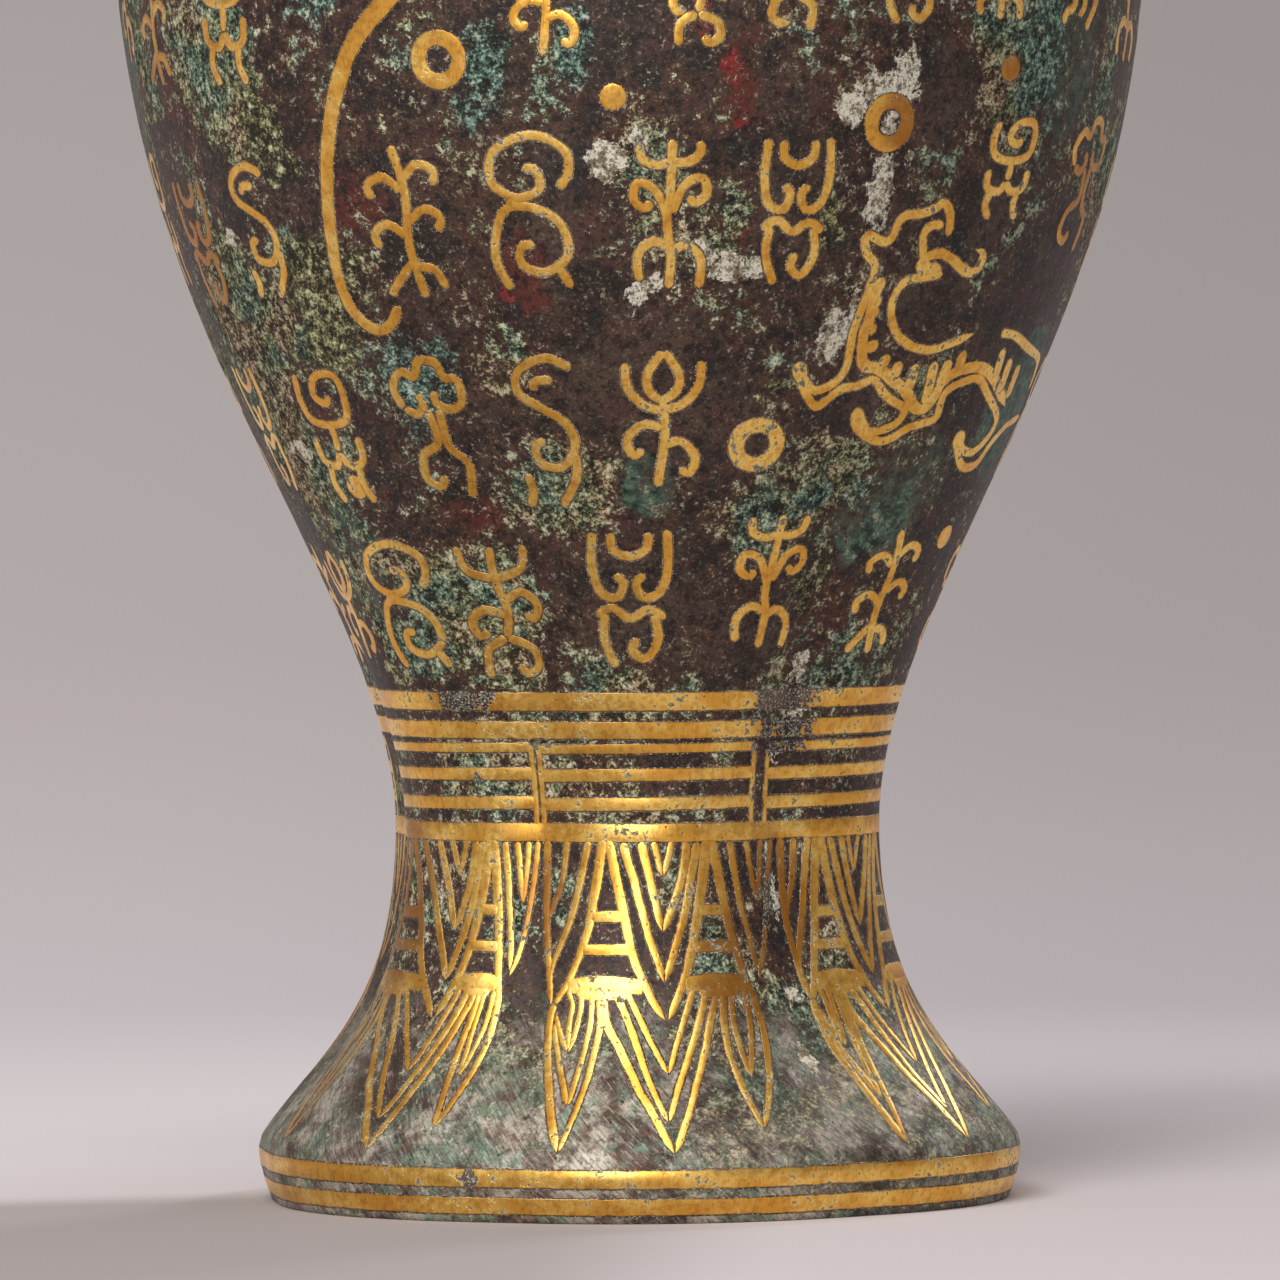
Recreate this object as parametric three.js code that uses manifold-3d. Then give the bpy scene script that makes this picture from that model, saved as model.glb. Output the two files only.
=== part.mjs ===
// A six-lobed bronze flower vase with gold laid flush into grooves of its surface.
// Millimetres and degrees, +Z up. The vase stands on z = 0 with its axis on the origin.
// An angle is measured round the axis from the front, -Y, toward +X, and a lobe faces the front.
// A place on the surface is an angle and a height; the surface there follows from the profile.

import * as THREE from "three";
import { mergeVertices } from "three/addons/utils/BufferGeometryUtils.js";
import Module from "manifold-3d";

const wasm = await Module();
wasm.setup();

// Lobed section: a radius is the mean of the section, a lobing is how far its crests and creases part
const LOBES = 6;
const STEPS_PER_LOBE = 6;
const CREASE_BLUNTNESS = 0.1;
const RIM_LOBING = 2.0;
const WAIST_LOBING = 4.2;
const BELLY_LOBING = 1.6;
const NECK_LOBING = 1.6;
const MOUTH_LOBING = 3.2;
const FLARE_LOBING_HEIGHT = 34;
const BELLY_LOBING_FADE = 26;
const BELLY_LOBING_HEIGHT = 190;

// Outline of the body. A handle's place is in shares of the width and height of its curve.
const FOOT_RADIUS = 74.3;
const FOOT_RIM_RADIUS = 75.2;
const FOOT_RIM_HEIGHT = 14.2;
const FOOT_RIM_SWELL = 4.2;
const WAIST_RADIUS = 48.7;
const WAIST_HEIGHT = 74.1;
const FLARE_RISE = 14;
const FLARE_DRAW = 10;
const FLARE_WAIST_PULL = 36;
const BELLY_RADIUS = 103.3;
const BELLY_HEIGHT = 256;
const BELLY_WAIST_PULL = 47;
const BELLY_PULL = 84;
const SHOULDER_PULL = 38;
const SHOULDER_HEIGHT = 326;
const SHOULDER_SLOPE_RUN = 34;
const SHOULDER_SLOPE_DROP = 7;
const RIM_FOOT_HANDLE = { out: 0.35, up: 0.3 };
const RIM_TOP_HANDLE = { out: 0.75, up: 0.75 };

// Outline of the neck and mouth, measured up from the shoulder
const NECK_FOOT_RADIUS = 31;
const NECK_RADIUS = 26.5;
const NECK_RISE = 16;
const MOUTH_RADIUS = 43;
const MOUTH_RISE = 56;
const LIP_SWELL = 1.2;
const LIP_HEIGHT = 4;
const NECK_FOOT_HANDLE = { out: 0.7, up: 0.1 };
const NECK_HANDLE_RISE = 0.45;
const THROAT_HANDLE_RISE = 0.5;
const MOUTH_HANDLE = { out: 0.5, up: 0.85 };

// Walls, the seat of the neck and the plate that closes the foot
const WALL = 4;
const NECK_WALL = 3.5;
const NECK_BORE_RADIUS = 22.5;
const SPIGOT_WALL = 3.2;
const SPIGOT_DEPTH = 7;
const SEAT_CLEARANCE = 0.3;
const FOOT_RIM_WIDTH = 4.6;
const PLATE_RECESS = 6;
const PLATE_THICKNESS = 3;
const LEDGE_WIDTH = 4;
const LEDGE_THICKNESS = 4;

// Gold inlay: how deep it lies, and the gap of solder between it and its groove
const INLAY_DEPTH = 0.8;
const INLAY_CLEARANCE = 0.3;
const FOOT_BAND_EDGE = 1.5;
const FOOT_BAND_WIDTH = 3.7;
const FOOT_BAND_SPACE = 1.8;
const COLLAR_WIDTH = 2.6;
const LADDER_LINES = 3;
const LADDER_LINE_WIDTH = 2.4;
const LADDER_SPACE = 3.1;
const LADDER_UPRIGHT_WIDTH = 1.6;
const LADDER_HEADROOM = 1.3;
const WAIST_BAND_WIDTH = 3.8;
const WAIST_BAND_SPACE = 1.9;
const PANEL_MARGIN = 0.9;
const LEAF_LINE_WIDTH = 1.4;
const LEAF_BASE_WIDTH = 2.1;
const RING_RADIUS = 5.9;
const RING_HOLE_RADIUS = 2.6;
const DOT_RADIUS = 2.3;
const ROUND_STEPS = 8;
const HOOK_SIZE = 69;
const HOOK_LINE_WIDTH = 3.0;
const BEAST_SIZE = 75;
const BEAST_LINE_WIDTH = 1.8;
const NECK_BAND_WIDTH = 3.2;
const NECK_BAND_RISE = 3.0;
const NECK_LEAF_GAP = 1.6;
const NECK_LEAF_HEIGHT = 24;
const NECK_LEAF_WIDTH = 14;
const NECK_LEAF_TIP = 2.8;
const NECK_LEAF_TAPER = 0.4;
const LIP_BAND_WIDTH = 2.4;

const BRONZE = { color: 0x3a3330, metalness: 0.7, roughness: 0.55 };
const GOLD = { color: 0xd9a23c, metalness: 1.0, roughness: 0.35 };

const GROOVE_DEPTH = INLAY_DEPTH + INLAY_CLEARANCE;
const GROOVE_OPENING = 1;
const PRISM_REACH = 5;
const ROW_GAP = 0.8;
const CUT_OVERRUN = 1;
const SHARPEST_MITRE = 0.35;
const FLATTEST_RISE = 0.2;
const CURVE_HALVINGS = 40;
const LEAST_FACET_ANGLE = 1;
const COLUMNS = LOBES * STEPS_PER_LOBE;
const LOBE_ANGLE = 360 / LOBES;
const MEAN_LOBE = 2 / Math.PI;
const { degToRad, radToDeg, lerp, smoothstep } = THREE.MathUtils;

// Lobed surfaces

// Height of the lobed section at an angle, 1 on a crest and near 0 in a crease.
function lobeAt(angle) {
  const wave = Math.cos((degToRad(angle) * LOBES) / 2);
  return Math.hypot(wave * Math.sqrt(1 - CREASE_BLUNTNESS ** 2), CREASE_BLUNTNESS);
}

function pointAt(angle, radius, height) {
  const turn = degToRad(angle);
  return new THREE.Vector3(radius * Math.sin(turn), -radius * Math.cos(turn), height);
}

function lobedRing(radius, lobing, height) {
  return Array.from({ length: COLUMNS }, (_, column) => {
    const angle = (column * 360) / COLUMNS;
    return pointAt(angle, radius + lobing * (lobeAt(angle) - MEAN_LOBE), height);
  });
}

// A manifold solid of a geometry whose faces point out.
function solidOf(geometry) {
  geometry.deleteAttribute("normal");
  geometry.deleteAttribute("uv");
  const merged = mergeVertices(geometry, 1e-5);
  const vertProperties = new Float32Array(merged.attributes.position.array);
  const triVerts = new Uint32Array(merged.index.array);
  return new wasm.Manifold(new wasm.Mesh({ numProp: 3, vertProperties, triVerts }));
}

function solidOfFaces(points, faces) {
  const geometry = new THREE.BufferGeometry().setFromPoints(points);
  geometry.setIndex(faces.flat());
  return solidOf(geometry);
}

// A closed solid through rings of points, listed upwards, with a flat cap at each end.
function loft(rings) {
  const count = rings[0].length;
  const points = rings.flat();
  const faces = [];
  for (let row = 0; row + 1 < rings.length; row++) {
    for (let column = 0; column < count; column++) {
      const next = (column + 1) % count;
      const [a, b] = [row * count + column, row * count + next];
      faces.push([a, b, b + count], [a, b + count, a + count]);
    }
  }
  const bottom = points.push(new THREE.Vector3(0, 0, rings[0][0].z)) - 1;
  const top = points.push(new THREE.Vector3(0, 0, rings.at(-1)[0].z)) - 1;
  const lastRow = (rings.length - 1) * count;
  for (let column = 0; column < count; column++) {
    const next = (column + 1) % count;
    faces.push([bottom, next, column], [top, lastRow + column, lastRow + next]);
  }
  return solidOfFaces(points, faces);
}

function lobedPlug(radius, lobing, from, to) {
  return loft([lobedRing(radius, lobing, from), lobedRing(radius, lobing, to)]);
}

const point2 = (radius, height) => new THREE.Vector2(radius, height);

// A profile runs upwards through curves. Its station at a height has the mean radius there, the
// outward normal, the lobing, and how much height a millimetre along the profile gains.
function profileOf(curves, lobingAt) {
  return function stationAt(height) {
    const curve = curves.find((c) => c.getPoint(1).y >= height) ?? curves.at(-1);
    let [low, high] = [0, 1];
    for (let halving = 0; halving < CURVE_HALVINGS; halving++) {
      const middle = (low + high) / 2;
      if (curve.getPoint(middle).y < height) low = middle;
      else high = middle;
    }
    const tangent = curve.getTangent(high);
    return {
      radius: curve.getPoint(high).x,
      height,
      out: tangent.y,
      up: -tangent.x,
      rise: Math.max(tangent.y, FLATTEST_RISE),
      lobing: lobingAt(height),
    };
  };
}

function surfacePoint(station, angle, offset) {
  const radius = station.radius + offset * station.out + station.lobing * (lobeAt(angle) - MEAN_LOBE);
  return pointAt(angle, radius, station.height + offset * station.up);
}

function profileRing(profile, height, offset) {
  const station = profile(height);
  return lobedRing(station.radius + offset * station.out, station.lobing, height + offset * station.up);
}

// The solid inside a profile, between the first and the last of the heights.
function solidInside(profile, heights, offset = 0, above = 0) {
  const rings = heights.map((height) => profileRing(profile, height, offset));
  if (above) rings.push(rings.at(-1).map((p) => new THREE.Vector3(p.x, p.y, p.z + above)));
  return loft(rings);
}

// The same solid with grooves all the way round, each from a lower to an upper height. Rows too near a
// groove are left out, but never the first and the last.
function groovedSolid(profile, heights, grooves) {
  const clear = (height) => grooves.every(([from, to]) => height < from - ROW_GAP || height > to + ROW_GAP);
  const isEnd = (height) => height === heights[0] || height === heights.at(-1);
  const kept = heights.filter((height) => isEnd(height) || clear(height));
  const rows = kept.map((height) => ({ height, rings: [profileRing(profile, height, 0)] }));
  for (const [from, to] of grooves) {
    const rings = [[from, 0], [from, -GROOVE_DEPTH], [to, -GROOVE_DEPTH], [to, 0]]
      .map(([height, offset]) => profileRing(profile, height, offset));
    rows.push({ height: from, rings });
  }
  rows.sort((a, b) => a.height - b.height);
  return loft(rows.flatMap((row) => row.rings));
}

// A sheet over a profile between two offsets, made of the filled cells of a grid whose corners lie
// at places. A wrapped sheet goes all the way round.
function cellSheet(profile, { columns, rows, placeOf, filled = () => true, wrapped = false }, inner, outer) {
  const points = [];
  const indexOf = new Map();
  const corner = (column, row, offset) => {
    const key = `${wrapped ? column % columns : column},${row},${offset}`;
    if (!indexOf.has(key)) {
      const { angle, height } = placeOf(column, row);
      indexOf.set(key, points.push(surfacePoint(profile(height), angle, offset)) - 1);
    }
    return indexOf.get(key);
  };
  const isFilled = (column, row) => {
    const onGrid = row >= 0 && row < rows && (wrapped || (column >= 0 && column < columns));
    return onGrid && filled((column + columns) % columns, row);
  };
  const faces = [];
  const quad = (a, b, c, d) => faces.push([a, b, c], [a, c, d]);
  for (let row = 0; row < rows; row++) {
    for (let column = 0; column < columns; column++) {
      if (!isFilled(column, row)) continue;
      const around = [[column, row], [column + 1, row], [column + 1, row + 1], [column, row + 1]];
      const front = around.map(([x, y]) => corner(x, y, outer));
      const back = around.map(([x, y]) => corner(x, y, inner));
      quad(...front);
      quad(...[...back].reverse());
      const beside = [[column, row - 1], [column + 1, row], [column, row + 1], [column - 1, row]];
      beside.forEach(([x, y], side) => {
        const next = (side + 1) % 4;
        if (!isFilled(x, y)) quad(back[side], back[next], front[next], front[side]);
      });
    }
  }
  return solidOfFaces(points, faces);
}

function bodyLobing(height) {
  const flare = smoothstep(height, FOOT_RIM_HEIGHT, FLARE_LOBING_HEIGHT);
  const belly = smoothstep(height, WAIST_HEIGHT + BELLY_LOBING_FADE, BELLY_LOBING_HEIGHT);
  return lerp(lerp(RIM_LOBING, WAIST_LOBING, flare), BELLY_LOBING, belly);
}

function bodyProfile() {
  const rim = new THREE.CubicBezierCurve(
    point2(FOOT_RADIUS, 0),
    point2(FOOT_RADIUS + FOOT_RIM_SWELL * RIM_FOOT_HANDLE.out, FOOT_RIM_HEIGHT * RIM_FOOT_HANDLE.up),
    point2(FOOT_RIM_RADIUS + FOOT_RIM_SWELL * RIM_TOP_HANDLE.out, FOOT_RIM_HEIGHT * RIM_TOP_HANDLE.up),
    point2(FOOT_RIM_RADIUS, FOOT_RIM_HEIGHT));
  const flare = new THREE.CubicBezierCurve(
    point2(FOOT_RIM_RADIUS, FOOT_RIM_HEIGHT),
    point2(FOOT_RIM_RADIUS - FLARE_DRAW, FOOT_RIM_HEIGHT + FLARE_RISE),
    point2(WAIST_RADIUS, WAIST_HEIGHT - FLARE_WAIST_PULL),
    point2(WAIST_RADIUS, WAIST_HEIGHT));
  const belly = new THREE.CubicBezierCurve(
    point2(WAIST_RADIUS, WAIST_HEIGHT),
    point2(WAIST_RADIUS, WAIST_HEIGHT + BELLY_WAIST_PULL),
    point2(BELLY_RADIUS, BELLY_HEIGHT - BELLY_PULL),
    point2(BELLY_RADIUS, BELLY_HEIGHT));
  const shoulder = new THREE.CubicBezierCurve(
    point2(BELLY_RADIUS, BELLY_HEIGHT),
    point2(BELLY_RADIUS, BELLY_HEIGHT + SHOULDER_PULL),
    point2(NECK_FOOT_RADIUS + SHOULDER_SLOPE_RUN, SHOULDER_HEIGHT - SHOULDER_SLOPE_DROP),
    point2(NECK_FOOT_RADIUS, SHOULDER_HEIGHT));
  return profileOf([rim, flare, belly, shoulder], bodyLobing);
}

const NECK_FOOT_HEIGHT = SHOULDER_HEIGHT + SEAT_CLEARANCE;
const NECK_TOP_HEIGHT = NECK_FOOT_HEIGHT + NECK_RISE;
const MOUTH_HEIGHT = NECK_FOOT_HEIGHT + MOUTH_RISE;
const TOP_HEIGHT = MOUTH_HEIGHT + LIP_HEIGHT;

function neckLobing(height) {
  const share = smoothstep(height, NECK_TOP_HEIGHT, MOUTH_HEIGHT);
  return lerp(NECK_LOBING, MOUTH_LOBING, share);
}

function neckProfile() {
  const foot = new THREE.CubicBezierCurve(
    point2(NECK_FOOT_RADIUS, NECK_FOOT_HEIGHT),
    point2(lerp(NECK_FOOT_RADIUS, NECK_RADIUS, NECK_FOOT_HANDLE.out),
      NECK_FOOT_HEIGHT + NECK_RISE * NECK_FOOT_HANDLE.up),
    point2(NECK_RADIUS, NECK_FOOT_HEIGHT + NECK_RISE * NECK_HANDLE_RISE),
    point2(NECK_RADIUS, NECK_TOP_HEIGHT));
  const throat = new THREE.CubicBezierCurve(
    point2(NECK_RADIUS, NECK_TOP_HEIGHT),
    point2(NECK_RADIUS, lerp(NECK_TOP_HEIGHT, MOUTH_HEIGHT, THROAT_HANDLE_RISE)),
    point2(lerp(NECK_RADIUS, MOUTH_RADIUS, MOUTH_HANDLE.out),
      lerp(NECK_TOP_HEIGHT, MOUTH_HEIGHT, MOUTH_HANDLE.up)),
    point2(MOUTH_RADIUS, MOUTH_HEIGHT));
  const lip = new THREE.QuadraticBezierCurve(
    point2(MOUTH_RADIUS, MOUTH_HEIGHT),
    point2(MOUTH_RADIUS + LIP_SWELL, MOUTH_HEIGHT + LIP_HEIGHT / 2),
    point2(MOUTH_RADIUS, TOP_HEIGHT));
  return profileOf([foot, throat, lip], neckLobing);
}

// Inlay outlines

// A place moved over a profile by millimetres: across is round the axis, along is up the profile.
function moved(profile, place, across, along) {
  const { radius, rise } = profile(place.height);
  return { angle: place.angle + radToDeg(across / radius), height: place.height + along * rise };
}

// How far one place lies from another, in millimetres across and along.
function stepBetween(profile, from, to) {
  const { radius, rise } = profile((from.height + to.height) / 2);
  return new THREE.Vector2(degToRad(to.angle - from.angle) * radius, (to.height - from.height) / rise);
}

// The outline of a line of even width through places, with mitred corners and square ends.
function ribbon(profile, places, width, overrun = 0) {
  const heads = places.slice(1).map((to, i) => stepBetween(profile, places[i], to).normalize());
  const left = [];
  const right = [];
  places.forEach((place, i) => {
    const before = heads[Math.max(i - 1, 0)];
    const after = heads[Math.min(i, heads.length - 1)];
    const middle = before.clone().add(after).normalize();
    const reach = width / 2 / Math.max(middle.dot(before), SHARPEST_MITRE);
    const end = i === 0 ? -overrun : i === places.length - 1 ? overrun : 0;
    const offset = (side) => moved(profile, place,
      -middle.y * reach * side + middle.x * end, middle.x * reach * side + middle.y * end);
    left.push(offset(1));
    right.unshift(offset(-1));
  });
  return [...right, ...left];
}

function disc(profile, centre, radius) {
  return Array.from({ length: ROUND_STEPS }, (_, step) => {
    const turn = (step * 2 * Math.PI) / ROUND_STEPS;
    return moved(profile, centre, radius * Math.cos(turn), radius * Math.sin(turn));
  });
}

// The solid that an outline on a profile sweeps from under the surface to above it.
function radialPrism(profile, outline) {
  const flat = outline.map((p) => point2(p.angle, p.height));
  if (THREE.ShapeUtils.isClockWise(flat)) flat.reverse();
  const count = flat.length;
  const points = [-PRISM_REACH, PRISM_REACH].flatMap((offset) =>
    flat.map((p) => surfacePoint(profile(p.y), p.x, offset)));
  const faces = [];
  for (const [a, b, c] of THREE.ShapeUtils.triangulateShape(flat, [])) {
    faces.push([a, c, b], [a + count, b + count, c + count]);
  }
  for (let i = 0; i < count; i++) {
    const next = (i + 1) % count;
    faces.push([i, next, next + count], [i, next + count, i + count]);
  }
  return solidOfFaces(points, faces);
}

function united(solids) {
  return solids.reduce((whole, piece) => whole.add(piece));
}

// A slab right across the vase between two heights.
function slab(from, to) {
  const reach = 2 * BELLY_RADIUS;
  const block = new THREE.BoxGeometry(2 * reach, 2 * reach, to - from);
  block.translate(0, 0, (from + to) / 2);
  return solidOf(block);
}

// An inlay has a name, its gold and the groove that it lies in, grown by the clearance. Lines all the
// way round have their grooves in the outline of the casting.
const bodyInlays = [];
const neckInlays = [];
const bodyGrooves = [];
const neckGrooves = [];

// Lines laid along places: prisms that are later trimmed to the layer of gold under the surface.
function lineInlay(list, profile, name, lines) {
  const prisms = (grow) => united(lines.map(({ places, width }) =>
    radialPrism(profile, ribbon(profile, places, width + 2 * grow, grow))));
  list.push({ name, prisms });
}

function sheetInlay(list, profile, name, cellsGrownBy) {
  list.push({
    name,
    gold: cellSheet(profile, cellsGrownBy(0), -INLAY_DEPTH, 0),
    groove: cellSheet(profile, cellsGrownBy(INLAY_CLEARANCE), -GROOVE_DEPTH, GROOVE_OPENING),
  });
}

function bandInlay(list, grooves, profile, name, from, width) {
  const cells = {
    columns: COLUMNS,
    rows: 1,
    placeOf: (column, row) => ({ angle: (column * 360) / COLUMNS, height: from + row * width }),
    wrapped: true,
  };
  list.push({ name, gold: cellSheet(profile, cells, -INLAY_DEPTH, 0) });
  grooves.push([from - INLAY_CLEARANCE, from + width + INLAY_CLEARANCE]);
}

const bodyShape = bodyProfile();
const neckShape = neckProfile();

// Foot and waist bands
const FOOT_BAND_UPPER_EDGE = FOOT_BAND_EDGE + FOOT_BAND_WIDTH + FOOT_BAND_SPACE;
bandInlay(bodyInlays, bodyGrooves, bodyShape, "foot_band_lower", FOOT_BAND_EDGE, FOOT_BAND_WIDTH);
bandInlay(bodyInlays, bodyGrooves, bodyShape, "foot_band_upper", FOOT_BAND_UPPER_EDGE, FOOT_BAND_WIDTH);

const LADDER_EDGE = WAIST_HEIGHT + COLLAR_WIDTH + LADDER_SPACE / 2;
const LADDER_HEIGHT = LADDER_LINES * LADDER_LINE_WIDTH + (LADDER_LINES - 1) * LADDER_SPACE;
const WAIST_BAND_EDGE = LADDER_EDGE + LADDER_HEIGHT + LADDER_HEADROOM;
bandInlay(bodyInlays, bodyGrooves, bodyShape, "waist_band_lower", WAIST_BAND_EDGE, WAIST_BAND_WIDTH);
bandInlay(bodyInlays, bodyGrooves, bodyShape, "waist_band_upper",
  WAIST_BAND_EDGE + WAIST_BAND_WIDTH + WAIST_BAND_SPACE, WAIST_BAND_WIDTH);

// Ladder panels: level lines between two uprights, one panel to a lobe, short of the creases. The
// grooves of the lines run on through the creases.
const PANEL_HALF_ANGLE = LOBE_ANGLE / 2 - radToDeg(PANEL_MARGIN / WAIST_RADIUS);

const LADDER_LINE_EDGES = Array.from({ length: 2 * LADDER_LINES }, (_, edge) =>
  LADDER_EDGE + Math.ceil(edge / 2) * LADDER_LINE_WIDTH + Math.floor(edge / 2) * LADDER_SPACE);

function ladderPanel(name, centre) {
  const uprightAngle = PANEL_HALF_ANGLE - radToDeg(LADDER_UPRIGHT_WIDTH / WAIST_RADIUS);
  const facets = Array.from({ length: STEPS_PER_LOBE + 1 }, (_, step) =>
    lerp(-LOBE_ANGLE / 2, LOBE_ANGLE / 2, step / STEPS_PER_LOBE));
  const between = facets.filter((angle) => Math.abs(angle) < uprightAngle - LEAST_FACET_ANGLE);
  const angles = [-PANEL_HALF_ANGLE, -uprightAngle, ...between, uprightAngle, PANEL_HALF_ANGLE];
  const cells = {
    columns: angles.length - 1,
    rows: LADDER_LINE_EDGES.length - 1,
    placeOf: (column, row) => ({ angle: centre + angles[column], height: LADDER_LINE_EDGES[row] }),
    filled: (column, row) => row % 2 === 0 || column === 0 || column === angles.length - 2,
  };
  const growAngle = radToDeg(INLAY_CLEARANCE / WAIST_RADIUS);
  const uprightGrooves = [-1, 1].map((side) => {
    const edges = [uprightAngle - growAngle, PANEL_HALF_ANGLE + growAngle].map((angle) => side * angle);
    edges.sort((a, b) => a - b);
    const reach = [LADDER_LINE_EDGES[0], LADDER_LINE_EDGES.at(-1)];
    const upright = {
      columns: 1,
      rows: 1,
      placeOf: (column, row) => ({ angle: centre + edges[column], height: reach[row] }),
    };
    return cellSheet(bodyShape, upright, -GROOVE_DEPTH, GROOVE_OPENING);
  });
  const gold = cellSheet(bodyShape, cells, -INLAY_DEPTH, 0);
  bodyInlays.push({ name, gold, groove: united(uprightGrooves) });
}

for (let line = 0; line < LADDER_LINES; line++) {
  const [from, to] = LADDER_LINE_EDGES.slice(2 * line, 2 * line + 2);
  bodyGrooves.push([from - INLAY_CLEARANCE, to + INLAY_CLEARANCE]);
}

// Hanging leaves: on each half of a lobe a tall frame with two bars hangs from the collar, and its
// legs run on below as blades that meet the other half's on the crest and end beside the crease.
// Levels are shares of the flare, 1 at the waist and 0 at the rim of the foot; sides are shares of
// half a panel, 0 on the crest of the lobe.
const FRAME_SIDE = 0.45;
const FRAME_BASE_HALF_SIDE = 0.25;
const BLADE_TIP_SIDES = [0, 0.8];
const COLLAR_LEVEL = 0.97;
const FRAME_MIDDLE_LEVEL = 0.83;
const UPPER_BAR_LEVEL = 0.66;
const LOWER_BAR_LEVEL = 0.5;
const BLADE_MIDDLE_LEVEL = 0.26;
const BLADE_TIP_LEVEL = 0.05;
const FRAME_TOP_OPENING = 1.0;
const TIP_OPENING = 1.6;

// The grid of a leaf panel, worked out on one half of it. Rows go up from the tips of the blades.
// Columns go out from the crest: a gap, a leg, the frame's opening, a leg.
const HALF_COLUMNS = 4;
const FILLED_BY_ROW = ["11.1", ".1.1", ".1.1", ".111", ".1.1", ".111", ".1.1", "1111"];

function leafRowHeights(grow) {
  const at = (level) => lerp(FOOT_RIM_HEIGHT, WAIST_HEIGHT, level);
  const thick = (level, width) => [at(level) - width / 2 - grow, at(level) + width / 2 + grow];
  return [
    ...thick(BLADE_TIP_LEVEL, LEAF_LINE_WIDTH),
    at(BLADE_MIDDLE_LEVEL),
    ...thick(LOWER_BAR_LEVEL, LEAF_BASE_WIDTH),
    ...thick(UPPER_BAR_LEVEL, LEAF_LINE_WIDTH),
    at(COLLAR_LEVEL) - grow,
    at(COLLAR_LEVEL) + COLLAR_WIDTH + grow,
  ];
}

// Distance from the crest, in millimetres, of each edge of the columns at a height.
function leafEdges(height, grow) {
  const level = (height - FOOT_RIM_HEIGHT) / (WAIST_HEIGHT - FOOT_RIM_HEIGHT);
  const halfPanel = degToRad(PANEL_HALF_ANGLE) * bodyShape(height).radius;
  const line = LEAF_LINE_WIDTH / 2;
  const down = Math.min(1, Math.max(0, (COLLAR_LEVEL - level) / (COLLAR_LEVEL - LOWER_BAR_LEVEL)));
  const below = Math.max(0, (LOWER_BAR_LEVEL - level) / (LOWER_BAR_LEVEL - BLADE_TIP_LEVEL));
  const leg = (direction) => {
    const base = FRAME_SIDE + direction * FRAME_BASE_HALF_SIDE;
    const upper = halfPanel * lerp(FRAME_SIDE, base, down) + direction * (FRAME_TOP_OPENING / 2 + line);
    return lerp(upper, halfPanel * BLADE_TIP_SIDES[direction < 0 ? 0 : 1], Math.min(1, below));
  };
  const inner = Math.max(leg(-1), TIP_OPENING / 2 + line);
  const outer = Math.min(Math.max(leg(1), inner + 4 * line), halfPanel - line);
  return [0, inner - line - grow, inner + line + grow, outer - line - grow, outer + line + grow];
}

function leafPanel(name, centre) {
  sheetInlay(bodyInlays, bodyShape, name, (grow) => {
    const heights = leafRowHeights(grow);
    const edges = heights.map((height) => leafEdges(height, grow));
    return {
      columns: 2 * HALF_COLUMNS,
      rows: heights.length - 1,
      placeOf: (column, row) => {
        const fromCrest = column - HALF_COLUMNS;
        const across = Math.sign(fromCrest) * edges[row][Math.abs(fromCrest)];
        return moved(bodyShape, { angle: centre, height: heights[row] }, across, 0);
      },
      filled: (column, row) => {
        const fromCrest = column < HALF_COLUMNS ? HALF_COLUMNS - 1 - column : column - HALF_COLUMNS;
        return FILLED_BY_ROW[row][fromCrest] === "1";
      },
    };
  });
}

for (let lobe = 0; lobe < LOBES; lobe++) {
  ladderPanel(`ladder_panel_${lobe + 1}`, lobe * LOBE_ANGLE);
  leafPanel(`leaf_panel_${lobe + 1}`, lobe * LOBE_ANGLE);
}

// Rings and dots strewn over the belly. A level on it is a share, 0 at the waist and 1 at its widest.
const RINGS = [
  { angle: -28.4, level: 0.833 }, { angle: 23.6, level: 0.763 }, { angle: 11.4, level: 0.422 },
  { angle: 94, level: 0.791 }, { angle: 148, level: 0.489 }, { angle: 243, level: 0.533 },
];
const DOTS = [
  { angle: -8.9, level: 0.791 }, { angle: 40.6, level: 0.821 }, { angle: 59.6, level: 0.318 },
  { angle: 118, level: 0.698 }, { angle: 262, level: 0.769 }, { angle: 305, level: 0.379 },
];
const onBelly = ({ angle, level }) => ({ angle, height: lerp(WAIST_HEIGHT, BELLY_HEIGHT, level) });
RINGS.map(onBelly).forEach((centre, index) => bodyInlays.push({
  name: `ring_${index + 1}`,
  prisms: (grow) => radialPrism(bodyShape, disc(bodyShape, centre, RING_RADIUS + grow))
    .subtract(radialPrism(bodyShape, disc(bodyShape, centre, RING_HOLE_RADIUS - grow))),
}));
DOTS.map(onBelly).forEach((centre, index) => bodyInlays.push({
  name: `dot_${index + 1}`,
  prisms: (grow) => radialPrism(bodyShape, disc(bodyShape, centre, DOT_RADIUS + grow)),
}));

// Figures are drawn as lines through points in hundredths of the figure's size, from its own centre.
function figureLine(centre, size, points, width) {
  const places = points.map(([across, along]) =>
    moved(bodyShape, centre, (across * size) / 100, (along * size) / 100));
  return { places, width };
}

// A long hook that hangs from the shoulder and curls up at its foot
const HOOK_CENTRES = [{ angle: -42, level: 0.72 }];
const HOOK = [
  [37.7, 55.1], [20.3, 44.9], [2.9, 24.6], [-8.7, 2.9], [-13, -20.3],
  [-11.6, -34.8], [-4.3, -44.9], [5.8, -44.9], [8.7, -37.7],
];
HOOK_CENTRES.map(onBelly).forEach((centre, index) => {
  const line = figureLine(centre, HOOK_SIZE, HOOK, HOOK_LINE_WIDTH);
  lineInlay(bodyInlays, bodyShape, `hook_${index + 1}`, [line]);
});

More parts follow.
